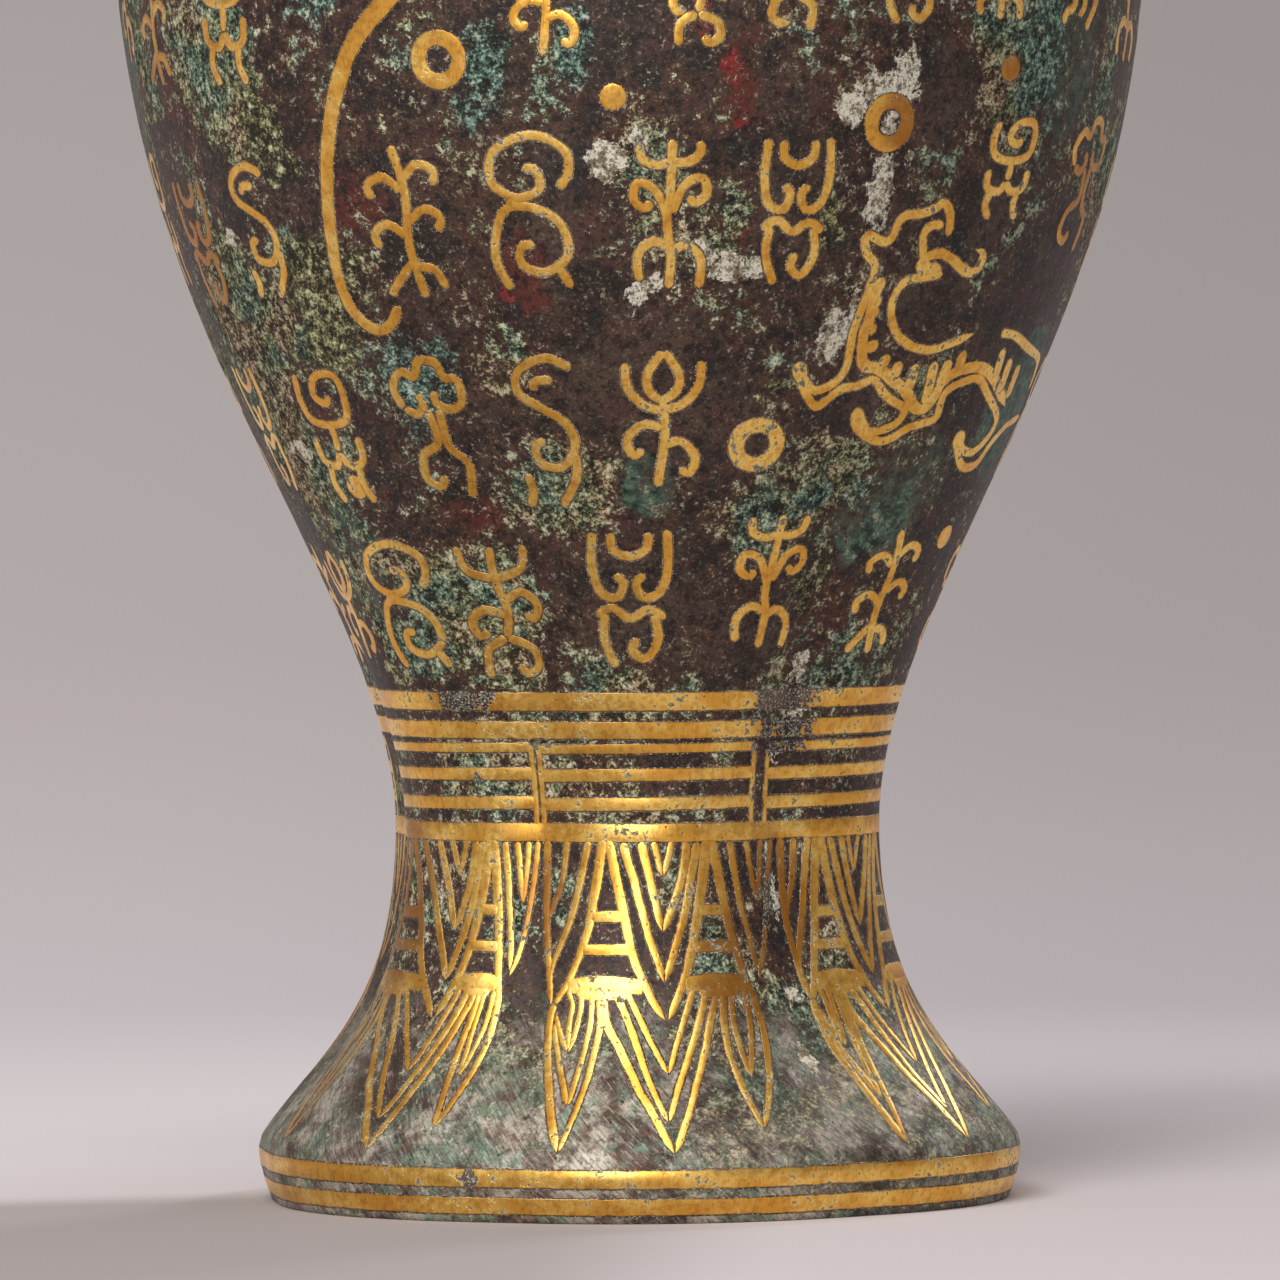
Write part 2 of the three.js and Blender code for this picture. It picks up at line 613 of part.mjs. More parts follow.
// A striding beast that looks back to the right: head and back, chest and forepaw, belly and hind paw
const BEAST_CENTRES = [{ angle: 32, level: 0.571 }];
const BEAST = {
  back: [
    [[-21.3, 16], [-9.3, 19.3], [3.3, 25.3], [6, 16]],
    [[-5.3, 20.7], [-1.3, 10]],
    [[12, 9.3], [-1.3, 10], [-8, 2.7], [-5.3, -8], [8, -12.7], [29.3, -8.7], [52, -10.7], [66.7, -16]],
  ],
  chest: [
    [[-17.3, 4], [-17.3, -14.7], [-26.7, -23.3], [-32.7, -16]],
    [[-26.7, -23.3], [-8, -19.3], [6.7, -26.7]],
    [[6.7, -26.7], [-1.3, -32], [-10.7, -27.3]],
  ],
  belly: [
    [[-9.3, -35.3], [4, -36.7], [18.7, -30], [22.7, -22.7], [36, -20], [45.3, -29.3], [42.7, -37.3]],
    [[45.3, -37.3], [33.3, -34]],
  ],
};
BEAST_CENTRES.map(onBelly).forEach((centre, index) => {
  for (const [part, strokes] of Object.entries(BEAST)) {
    lineInlay(bodyInlays, bodyShape, `beast_${index + 1}_${part}`,
      strokes.map((points) => figureLine(centre, BEAST_SIZE, points, BEAST_LINE_WIDTH)));
  }
});

// Bands and upright leaves of the neck, and the band round the lip
const NECK_BAND_EDGE = NECK_FOOT_HEIGHT + NECK_BAND_RISE;
bandInlay(neckInlays, neckGrooves, neckShape, "neck_band", NECK_BAND_EDGE, NECK_BAND_WIDTH);
bandInlay(neckInlays, neckGrooves, neckShape, "lip_band",
  MOUTH_HEIGHT + (LIP_HEIGHT - LIP_BAND_WIDTH) / 2, LIP_BAND_WIDTH);

// An upright leaf: two legs that lean together over a bar, closed at the tip
const NECK_LEAF_ROWS = ["111", "1.1", "1.1", "111"];

function neckLeaf(name, centre) {
  const foot = NECK_BAND_EDGE + NECK_BAND_WIDTH + NECK_LEAF_GAP;
  sheetInlay(neckInlays, neckShape, name, (grow) => {
    const tip = foot + NECK_LEAF_HEIGHT;
    const barTop = foot + LEAF_LINE_WIDTH + grow;
    const tipFoot = tip - NECK_LEAF_TIP - grow;
    const heights = [foot - grow, barTop, (barTop + tipFoot) / 2, tipFoot, tip + grow];
    return {
      columns: 3,
      rows: heights.length - 1,
      placeOf: (column, row) => {
        const share = (heights[row] - foot) / NECK_LEAF_HEIGHT;
        const outer = lerp(NECK_LEAF_WIDTH, NECK_LEAF_TIP, share) / 2 + grow;
        const inner = outer - LEAF_LINE_WIDTH * (1 - NECK_LEAF_TAPER * share) - 2 * grow;
        const across = [-outer, -inner, inner, outer][column];
        return moved(neckShape, { angle: centre, height: heights[row] }, across, 0);
      },
      filled: (column, row) => NECK_LEAF_ROWS[row][column] === "1",
    };
  });
}

for (let lobe = 0; lobe < LOBES; lobe++) neckLeaf(`neck_leaf_${lobe + 1}`, lobe * LOBE_ANGLE);

// Castings

// Heights between two levels at even steps, the lower level included.
function spaced(from, to, steps) {
  return Array.from({ length: steps }, (_, step) => lerp(from, to, step / steps));
}

const BODY_HEIGHTS = [
  ...spaced(0, FOOT_RIM_HEIGHT, 3),
  ...[0, BLADE_MIDDLE_LEVEL, LOWER_BAR_LEVEL, UPPER_BAR_LEVEL, FRAME_MIDDLE_LEVEL].map((level) =>
    lerp(FOOT_RIM_HEIGHT, WAIST_HEIGHT, level)),
  ...spaced(WAIST_HEIGHT, BELLY_HEIGHT, 7),
  ...spaced(BELLY_HEIGHT, SHOULDER_HEIGHT, 4),
  SHOULDER_HEIGHT,
];
const WAIST_BANDS_TOP = WAIST_BAND_EDGE + 2 * WAIST_BAND_WIDTH + WAIST_BAND_SPACE;
const BODY_INSIDE_HEIGHTS = [
  ...spaced(0, WAIST_HEIGHT, 5),
  WAIST_HEIGHT,
  ...spaced(WAIST_BANDS_TOP, BELLY_HEIGHT, 4),
  ...spaced(BELLY_HEIGHT, SHOULDER_HEIGHT, 3),
  SHOULDER_HEIGHT,
];
const NECK_HEIGHTS = [
  ...spaced(NECK_FOOT_HEIGHT, NECK_TOP_HEIGHT, 2),
  ...spaced(NECK_TOP_HEIGHT, MOUTH_HEIGHT, 4),
  ...spaced(MOUTH_HEIGHT, TOP_HEIGHT, 2),
  TOP_HEIGHT,
];

function bodyCasting(outside) {
  const bore = FOOT_RADIUS - FOOT_RIM_WIDTH;
  const ledgeBottom = PLATE_RECESS + PLATE_THICKNESS + SEAT_CLEARANCE;
  const ledgeTop = ledgeBottom + LEDGE_THICKNESS;
  const inside = solidInside(bodyShape, BODY_INSIDE_HEIGHTS, -WALL)
    .intersect(slab(ledgeTop, SHOULDER_HEIGHT));
  const cuts = [
    inside,
    lobedPlug(bore - LEDGE_WIDTH, RIM_LOBING, ledgeBottom - CUT_OVERRUN, ledgeTop + CUT_OVERRUN),
    lobedPlug(bore, RIM_LOBING, -CUT_OVERRUN, ledgeBottom),
    lobedPlug(NECK_BORE_RADIUS + SPIGOT_WALL + SEAT_CLEARANCE, NECK_LOBING,
      SHOULDER_HEIGHT - 2 * WALL, SHOULDER_HEIGHT + CUT_OVERRUN),
  ];
  return outside.subtract(united(cuts));
}

function neckCasting(outside) {
  const throatHeights = NECK_HEIGHTS.filter((height) => height <= MOUTH_HEIGHT);
  const throat = solidInside(neckShape, throatHeights, -NECK_WALL, 2 * LIP_HEIGHT)
    .intersect(slab(NECK_FOOT_HEIGHT + NECK_RISE / 2, TOP_HEIGHT + CUT_OVERRUN));
  const spigotFoot = NECK_FOOT_HEIGHT - SPIGOT_DEPTH;
  const spigot = lobedPlug(NECK_BORE_RADIUS + SPIGOT_WALL, NECK_LOBING,
    spigotFoot, NECK_FOOT_HEIGHT + CUT_OVERRUN);
  const bore = lobedPlug(NECK_BORE_RADIUS, NECK_LOBING, spigotFoot - CUT_OVERRUN, NECK_TOP_HEIGHT);
  return outside.add(spigot).subtract(bore).subtract(throat);
}

function basePlate() {
  const radius = FOOT_RADIUS - FOOT_RIM_WIDTH - SEAT_CLEARANCE;
  return lobedPlug(radius, RIM_LOBING, PLATE_RECESS, PLATE_RECESS + PLATE_THICKNESS);
}

const vase = new THREE.Group();

function addPiece(name, solid, finish) {
  const { vertProperties, triVerts } = solid.getMesh();
  const geometry = new THREE.BufferGeometry();
  geometry.setAttribute("position", new THREE.BufferAttribute(vertProperties, 3));
  geometry.setIndex(new THREE.BufferAttribute(triVerts, 1));
  geometry.computeVertexNormals();
  const piece = new THREE.Mesh(geometry, new THREE.MeshStandardMaterial(finish));
  piece.name = name;
  vase.add(piece);
}

// A casting with its grooves cut, and the gold that lies in them.
function addInlaidCasting(name, profile, heights, ringGrooves, casting, inlays) {
  const outside = solidInside(profile, heights);
  const goldLayer = outside.subtract(solidInside(profile, heights, -INLAY_DEPTH));
  const grooveLayer = solidInside(profile, heights, GROOVE_OPENING)
    .subtract(solidInside(profile, heights, -GROOVE_DEPTH));
  const grooves = inlays.filter(({ groove, prisms }) => groove || prisms).map(({ groove, prisms }) =>
    groove ?? grooveLayer.intersect(prisms(INLAY_CLEARANCE)));
  const cast = casting(groovedSolid(profile, heights, ringGrooves));
  addPiece(name, cast.subtract(united(grooves)), BRONZE);
  for (const inlay of inlays) {
    addPiece(inlay.name, inlay.gold ?? goldLayer.intersect(inlay.prisms(0)), GOLD);
  }
}

addInlaidCasting("vase_body", bodyShape, BODY_HEIGHTS, bodyGrooves, bodyCasting, bodyInlays);
addInlaidCasting("neck_and_mouth", neckShape, NECK_HEIGHTS, neckGrooves, neckCasting, neckInlays);
addPiece("base_plate", basePlate(), BRONZE);

export default vase;
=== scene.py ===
"""A bronze flower vase with gilded inlay, dressed for a studio still.

The foot stands on z 0 with the vase's axis on the z axis. Angles are degrees round
that axis: 0 is the front, and they grow towards the right hand of someone who looks
at the front. Heights, widths and reaches are millimetres until a point is placed,
which is in metres. The section has six soft lobes, one centred on every 60 degrees.
"""

from __future__ import annotations

import logging
import math
import random
from bisect import bisect_right
from dataclasses import dataclass, field, replace
from enum import Enum
from typing import Iterable, Sequence, Union

import bmesh
import bpy
from mathutils import Matrix, Vector, noise
from mathutils.geometry import interpolate_bezier

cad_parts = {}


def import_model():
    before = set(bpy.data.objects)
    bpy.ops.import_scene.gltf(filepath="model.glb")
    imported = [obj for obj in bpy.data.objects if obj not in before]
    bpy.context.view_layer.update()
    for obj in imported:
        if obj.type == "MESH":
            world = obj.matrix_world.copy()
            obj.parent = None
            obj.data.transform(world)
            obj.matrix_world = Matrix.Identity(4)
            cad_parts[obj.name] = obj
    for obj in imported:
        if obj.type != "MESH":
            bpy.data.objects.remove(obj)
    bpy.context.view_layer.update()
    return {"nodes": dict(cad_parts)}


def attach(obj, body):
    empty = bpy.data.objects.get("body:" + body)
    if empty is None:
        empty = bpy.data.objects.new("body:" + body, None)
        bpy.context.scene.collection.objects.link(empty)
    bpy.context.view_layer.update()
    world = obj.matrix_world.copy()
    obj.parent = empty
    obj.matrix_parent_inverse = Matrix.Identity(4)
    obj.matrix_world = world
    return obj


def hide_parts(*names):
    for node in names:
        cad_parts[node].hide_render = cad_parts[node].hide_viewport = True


LOG = logging.getLogger("bronze_vase")

MM = 0.001
LOBES = 6
LOBE_TURN = 360.0 / LOBES
LOBE_SOFTNESS = 0.1
SPIN_STEPS = 288
SPIN_STEP = 360.0 / SPIN_STEPS
CURVE_SAMPLES = 240
COURSE_STEPS = 12

Place = tuple[float, float]


def ease(value: float, low: float, high: float) -> float:
    """Eases from 0 to 1 while the value goes from low to high."""
    share = min(1.0, max(0.0, (value - low) / (high - low)))
    return share * share * (3.0 - 2.0 * share)


def between(start: float, end: float, share: float) -> float:
    """Returns the number that lies the given share of the way from start to end."""
    return start + (end - start) * share


@dataclass(frozen=True)
class Swell:
    """How far the lobes stand out, at heights between which they ease.

    Attributes:
        stops: Pairs of (height, amount), lowest first.
    """

    stops: tuple[tuple[float, float], ...]

    def at(self, height: float) -> float:
        """Finds the amount of lobe at a height.

        Args:
            height: The height on the wall.

        Returns:
            The amount in millimetres.
        """
        amount = self.stops[0][1]
        for (low, _), (high, target) in zip(self.stops[::2], self.stops[1::2]):
            amount = between(amount, target, ease(height, low, high))
        return amount


@dataclass
class LobedWall:
    """The outer skin of one casting, round the axis of the vase.

    Attributes:
        curves: The profile, bottom to top, as cubic curves of (radius, height) points.
        swell: How far the lobes stand out.
        radii: The radii along the profile, lowest first.
        heights: The heights that go with them.
    """

    curves: Sequence[Sequence[tuple[float, float]]]
    swell: Swell
    radii: list[float] = field(default_factory=list)
    heights: list[float] = field(default_factory=list)

    def __post_init__(self) -> None:
        """Samples the profile finely, lowest point first."""
        for curve in self.curves:
            ends = [Vector((r, h, 0.0)) for r, h in curve]
            for spot in interpolate_bezier(*ends, CURVE_SAMPLES):
                if not self.heights or spot.y > self.heights[-1] + 1e-6:
                    self.radii.append(spot.x)
                    self.heights.append(spot.y)

    def radius(self, height: float) -> float:
        """Finds the radius of the profile, before the lobes.

        Args:
            height: The height on the wall.

        Returns:
            The radius in millimetres.
        """
        if height <= self.heights[0]:
            return self.radii[0]
        if height >= self.heights[-1]:
            return self.radii[-1]
        high = bisect_right(self.heights, height)
        low = high - 1
        share = (height - self.heights[low]) / (self.heights[high] - self.heights[low])
        return between(self.radii[low], self.radii[high], share)

    def lean(self, height: float) -> Vector:
        """Finds which way the wall faces in the upright plane through the axis.

        Args:
            height: The height on the wall.

        Returns:
            A unit vector of (outward, upward).
        """
        low = max(self.heights[0], height - 0.3)
        high = min(self.heights[-1], height + 0.3)
        return Vector((high - low, self.radius(low) - self.radius(high))).normalized()

    def lobe(self, angle: float) -> float:
        """Finds how far one unit of lobe stands out of the mean circle.

        Args:
            angle: Degrees from the front.

        Returns:
            The share, below 0 between the lobes.
        """
        wave = math.cos(math.radians(angle) * LOBES / 2.0)
        body = wave * math.sqrt(1.0 - LOBE_SOFTNESS**2)
        return math.hypot(body, LOBE_SOFTNESS) - 2.0 / math.pi

    def spot(self, angle: float, radius: float, height: float) -> Vector:
        """Places, in metres, a point that is given in degrees and millimetres."""
        turn = math.radians(angle)
        return Vector((math.sin(turn) * radius, -math.cos(turn) * radius, height)) * MM

    def hollow(self, at: Vector) -> float:
        """Finds how deep the shallow unevenness of the skin is.

        Args:
            at: The point in metres.

        Returns:
            The depth in millimetres.
        """
        broad = noise.noise(at * 42.0)
        close = noise.noise(at * 150.0 + Vector((7.0, 3.0, 1.0)))
        return max(0.0, 0.2 - 0.16 * broad - 0.06 * close)

    def point(self, angle: float, height: float, proud: float = 0.0) -> Vector:
        """Places a point on the skin.

        Args:
            angle: Degrees from the front.
            height: Millimetres above the foot.
            proud: Millimetres that the point stands out of the skin.

        Returns:
            The point in metres.
        """
        radius = self.radius(height) + self.swell.at(height) * self.lobe(angle)
        at = self.spot(angle, radius, height)
        lean = self.lean(height)
        out = proud - self.hollow(at)
        return self.spot(angle, radius + lean.x * out, height + lean.y * out)

    def shifted(self, place: Place, across: float, along: float) -> Place:
        """Walks over the skin from a place.

        Args:
            place: Where the walk starts, as (angle, height).
            across: Millimetres to the right.
            along: Millimetres up the wall.

        Returns:
            The place that is reached.
        """
        angle, height = place
        reach = max(5.0, self.radius(height))
        return angle + math.degrees(across / reach), height + along * self.lean(height).x

    def walk(self, start: Place, end: Place) -> Vector:
        """Measures the way over the skin from one place to another.

        Args:
            start: The first place.
            end: The last place.

        Returns:
            (across, along) in millimetres.
        """
        height = (start[1] + end[1]) / 2.0
        reach = max(5.0, self.radius(height))
        rise = max(0.2, self.lean(height).x)
        turn = (end[0] - start[0] + 180.0) % 360.0 - 180.0
        return Vector((math.radians(turn) * reach, (end[1] - start[1]) / rise))


BODY_WALL = LobedWall(
    curves=(
        ((74.3, 0.0), (75.77, 4.26), (78.35, 10.65), (75.2, 14.2)),
        ((75.2, 14.2), (65.2, 28.2), (48.7, 38.1), (48.7, 74.1)),
        ((48.7, 74.1), (48.7, 121.1), (103.3, 172.0), (103.3, 256.0)),
        ((103.3, 256.0), (103.3, 294.0), (65.0, 319.0), (31.0, 326.0)),
    ),
    swell=Swell(((14.2, 2.0), (34.0, 4.2), (100.1, 4.2), (190.0, 1.6))),
)

NECK_WALL = LobedWall(
    curves=(
        ((31.0, 326.3), (27.85, 327.9), (26.5, 333.5), (26.5, 342.3)),
        ((26.5, 342.3), (26.5, 362.3), (34.75, 376.3), (43.0, 382.3)),
        ((43.0, 382.3), (43.8, 383.63), (43.8, 384.97), (43.0, 386.3)),
    ),
    swell=Swell(((342.3, 1.6), (382.3, 3.2))),
)


class Flow:
    """A value that runs from one shader node to the next, with arithmetic on it."""

    def __init__(self, bench: "Bench", socket: bpy.types.NodeSocket) -> None:
        """Keeps the bench that the value belongs to, and the socket it leaves by."""
        self.bench = bench
        self.socket = socket

    @staticmethod
    def _is_vector(feed: "Feed") -> bool:
        """Tells whether a feed has three parts.

        Args:
            feed: The feed.

        Returns:
            Whether it is a vector or a colour.
        """
        if isinstance(feed, Flow):
            return feed.socket.type in {"VECTOR", "RGBA"}
        return isinstance(feed, (tuple, Vector))

    def _join(self, operation: str, first: "Feed", second: "Feed") -> "Flow":
        """Adds the node of one arithmetic step.

        Args:
            operation: The step's name on a Math or Vector Math node.
            first: The left side.
            second: The right side.

        Returns:
            The result.
        """
        if not (self._is_vector(first) or self._is_vector(second)):
            return self.bench.add("ShaderNodeMath", {"operation": operation}, {0: first, 1: second})
        if operation == "MULTIPLY" and not (self._is_vector(first) and self._is_vector(second)):
            body, factor = (first, second) if self._is_vector(first) else (second, first)
            return self.bench.add(
                "ShaderNodeVectorMath", {"operation": "SCALE"}, {0: body, "Scale": factor}
            )
        feeds = {0: first, 1: second}
        return self.bench.add("ShaderNodeVectorMath", {"operation": operation}, feeds)

    def __add__(self, other: "Feed") -> "Flow":
        """Adds."""
        return self._join("ADD", self, other)

    def __radd__(self, other: "Feed") -> "Flow":
        """Adds, from the right."""
        return self._join("ADD", other, self)

    def __sub__(self, other: "Feed") -> "Flow":
        """Takes away."""
        return self._join("SUBTRACT", self, other)

    def __rsub__(self, other: "Feed") -> "Flow":
        """Takes this away from the other."""
        return self._join("SUBTRACT", other, self)

    def __mul__(self, other: "Feed") -> "Flow":
        """Multiplies."""
        return self._join("MULTIPLY", self, other)

    def __rmul__(self, other: "Feed") -> "Flow":
        """Multiplies, from the right."""
        return self._join("MULTIPLY", other, self)

    def __truediv__(self, other: "Feed") -> "Flow":
        """Divides."""
        return self._join("DIVIDE", self, other)

    def __or__(self, other: "Feed") -> "Flow":
        """Takes the greater, so that two masks become one that has both."""
        return self._join("MAXIMUM", self, other)

    def between(self, low: float, high: float) -> "Flow":
        """Turns the value into a soft mask.

        Args:
            low: Where the mask leaves 0.
            high: Where the mask reaches 1.

        Returns:
            The mask, from 0 to 1.
        """
        return self.bench.add(
            "ShaderNodeMapRange",
            {"interpolation_type": "SMOOTHSTEP"},
            {"Value": self, "From Min": low, "From Max": high},
        )

    def length(self) -> "Flow":
        """Measures a vector."""
        return self.bench.add("ShaderNodeVectorMath", {"operation": "LENGTH"}, {0: self}, "Value")

    def part(self, name: str) -> "Flow":
        """Returns the X, Y or Z part of a vector."""
        return self.bench.add("ShaderNodeSeparateXYZ", {}, {0: self}, name)

    def does(self, operation: str, other: "Feed" = 0.0) -> "Flow":
        """Applies any other step of a Math node, such as a cosine."""
        return self.bench.add("ShaderNodeMath", {"operation": operation}, {0: self, 1: other})


Feed = Union[Flow, float, int, Sequence[float]]


class Bench:
    """The node tree of one finish."""

    def __init__(self, owner: bpy.types.Material | bpy.types.World) -> None:
        """Takes over a node tree and empties it.

        Args:
            owner: The material or world whose tree it is.
        """
        owner.use_nodes = True
        self.tree = owner.node_tree
        self.tree.nodes.clear()

    def add(
        self,
        kind: str,
        settings: dict[str, object] | None = None,
        feeds: dict[str | int, Feed] | None = None,
        out: str | int = 0,
    ) -> Flow:
        """Adds a node, sets it and feeds it.

        Args:
            kind: The node's type.
            settings: The node's own settings. "stops" are the colours of a ramp, as
                pairs of (position, colour).
            feeds: What goes into the sockets: another node's value, or a number,
                vector or colour.
            out: The socket that the result leaves by.

        Returns:
            The node's result.
        """
        node = self.tree.nodes.new(kind)
        for name, value in (settings or {}).items():
            if name == "stops":
                self._set_stops(node, value)
            else:
                setattr(node, name, value)
        for key, feed in (feeds or {}).items():
            if isinstance(feed, Flow):
                self.tree.links.new(feed.socket, node.inputs[key])
            else:
                node.inputs[key].default_value = feed
        return Flow(self, node.outputs[out]) if len(node.outputs) else Flow(self, node.inputs[0])

    def _set_stops(
        self, node: bpy.types.Node, stops: Sequence[tuple[float, Sequence[float]]]
    ) -> None:
        """Gives a ramp its colours.

        Args:
            node: The ramp.
            stops: Pairs of (position, colour).
        """
        elements = node.color_ramp.elements
        while len(elements) > 1:
            elements.remove(elements[-1])
        elements[0].position, elements[0].color = stops[0]
        for position, colour in stops[1:]:
            elements.new(position).color = colour

    def place(self) -> Flow:
        """Returns the place on the vase in millimetres."""
        return self.add("ShaderNodeTexCoord", {}, {}, "Object") * 1000.0

    def grain(self, where: Flow, size: float, detail: float, rough: float = 0.55) -> Flow:
        """Adds clouds of a size in millimetres, with finer, rougher layers in them."""
        feeds = {"Vector": where, "Scale": 1.0 / size, "Detail": detail, "Roughness": rough}
        return self.add("ShaderNodeTexNoise", {}, feeds)

    def drift(self, where: Flow, size: float, far: float) -> Flow:
        """Bends places by a cloudy pattern, so that edges on them turn ragged.

        Args:
            where: The place, in millimetres.
            size: How large the bends are.
            far: How far a place moves.

        Returns:
            The bent place.
        """
        feeds = {"Vector": where, "Scale": 1.0 / size, "Detail": 3.0, "Roughness": 0.6}
        cloud = self.add("ShaderNodeTexNoise", {}, feeds, "Color")
        return where + (cloud - (0.5, 0.5, 0.5)) * (2.0 * far)

    def cells(self, where: Flow, size: float) -> Flow:
        """Adds the distance to scattered points, for pits and crumbs."""
        feeds = {"Vector": where, "Scale": 1.0 / size}
        return self.add("ShaderNodeTexVoronoi", {}, feeds, "Distance")

    def wash(self, under: Feed, over: Feed, amount: Feed) -> Flow:
        """Lays one colour over another, of which an amount from 0 to 1 shows."""
        return self.add("ShaderNodeMix", {"data_type": "RGBA"}, {0: amount, 6: under, 7: over}, 2)

    def wrap(self, where: Flow, across: float, along: float, slant: float = 0.0) -> Flow:
        """Lays places out flat round the axis, for grain that runs over the wall.

        Args:
            where: The place, in millimetres.
            across: How much the pattern is squeezed round the vase.
            along: How much it is squeezed up the vase.
            slant: How far the grain leans.

        Returns:
            A flat place to read a pattern at.
        """
        angle = where.part("X").does("ARCTAN2", where.part("Y") * -1.0) * 60.0
        height = where.part("Z")
        flat = {"X": (angle + height * slant) * across, "Y": height * along}
        return self.add("ShaderNodeCombineXYZ", {}, flat)


def tint(red: float, green: float, blue: float) -> tuple[float, float, float, float]:
    """Turns a colour as seen, 0 to 255, into the light that makes it.

    Args:
        red: The red part.
        green: The green part.
        blue: The blue part.

    Returns:
        The colour for a shader.
    """
    parts = (part / 255.0 for part in (red, green, blue))
    light = [p / 12.92 if p <= 0.04045 else ((p + 0.055) / 1.055) ** 2.4 for p in parts]
    return light[0], light[1], light[2], 1.0


@dataclass(frozen=True)
class Bloom:
    """One patch on the wall.

    Attributes:
        angle: Degrees from the front.
        height: Millimetres above the foot.
        reach: How far the patch reaches.
        tall: How many times taller than wide it is.
    """

    angle: float
    height: float
    reach: float
    tall: float = 1.0

    def mask(self, where: Flow) -> Flow:
        """Returns the patch as a soft mask.

        Args:
            where: The place, in millimetres.

        Returns:
            1 at the middle of the patch and 0 outside it.
        """
        middle = BODY_WALL.point(self.angle, self.height) / MM
        away = (where - tuple(middle)) * (1.0, 1.0, 1.0 / self.tall)
        return 1.0 - away.length().between(self.reach * 0.35, self.reach * 1.15)


def strewn(*rows: tuple[float, ...]) -> tuple[Bloom, ...]:
    """Turns rows of (angle, height, reach) or (angle, height, reach, tall) into patches."""
    return tuple(Bloom(*row) for row in rows)


def patches(where: Flow, blooms: Iterable[Bloom]) -> Flow:
    """Joins patches into one mask.

    Args:
        where: The place, in millimetres.
        blooms: The patches.

    Returns:
        The mask, from 0 to 1.
    """
    masks = [bloom.mask(where) for bloom in blooms]
    joined = masks[0]
    for mask in masks[1:]:
        joined = joined | mask
    return joined


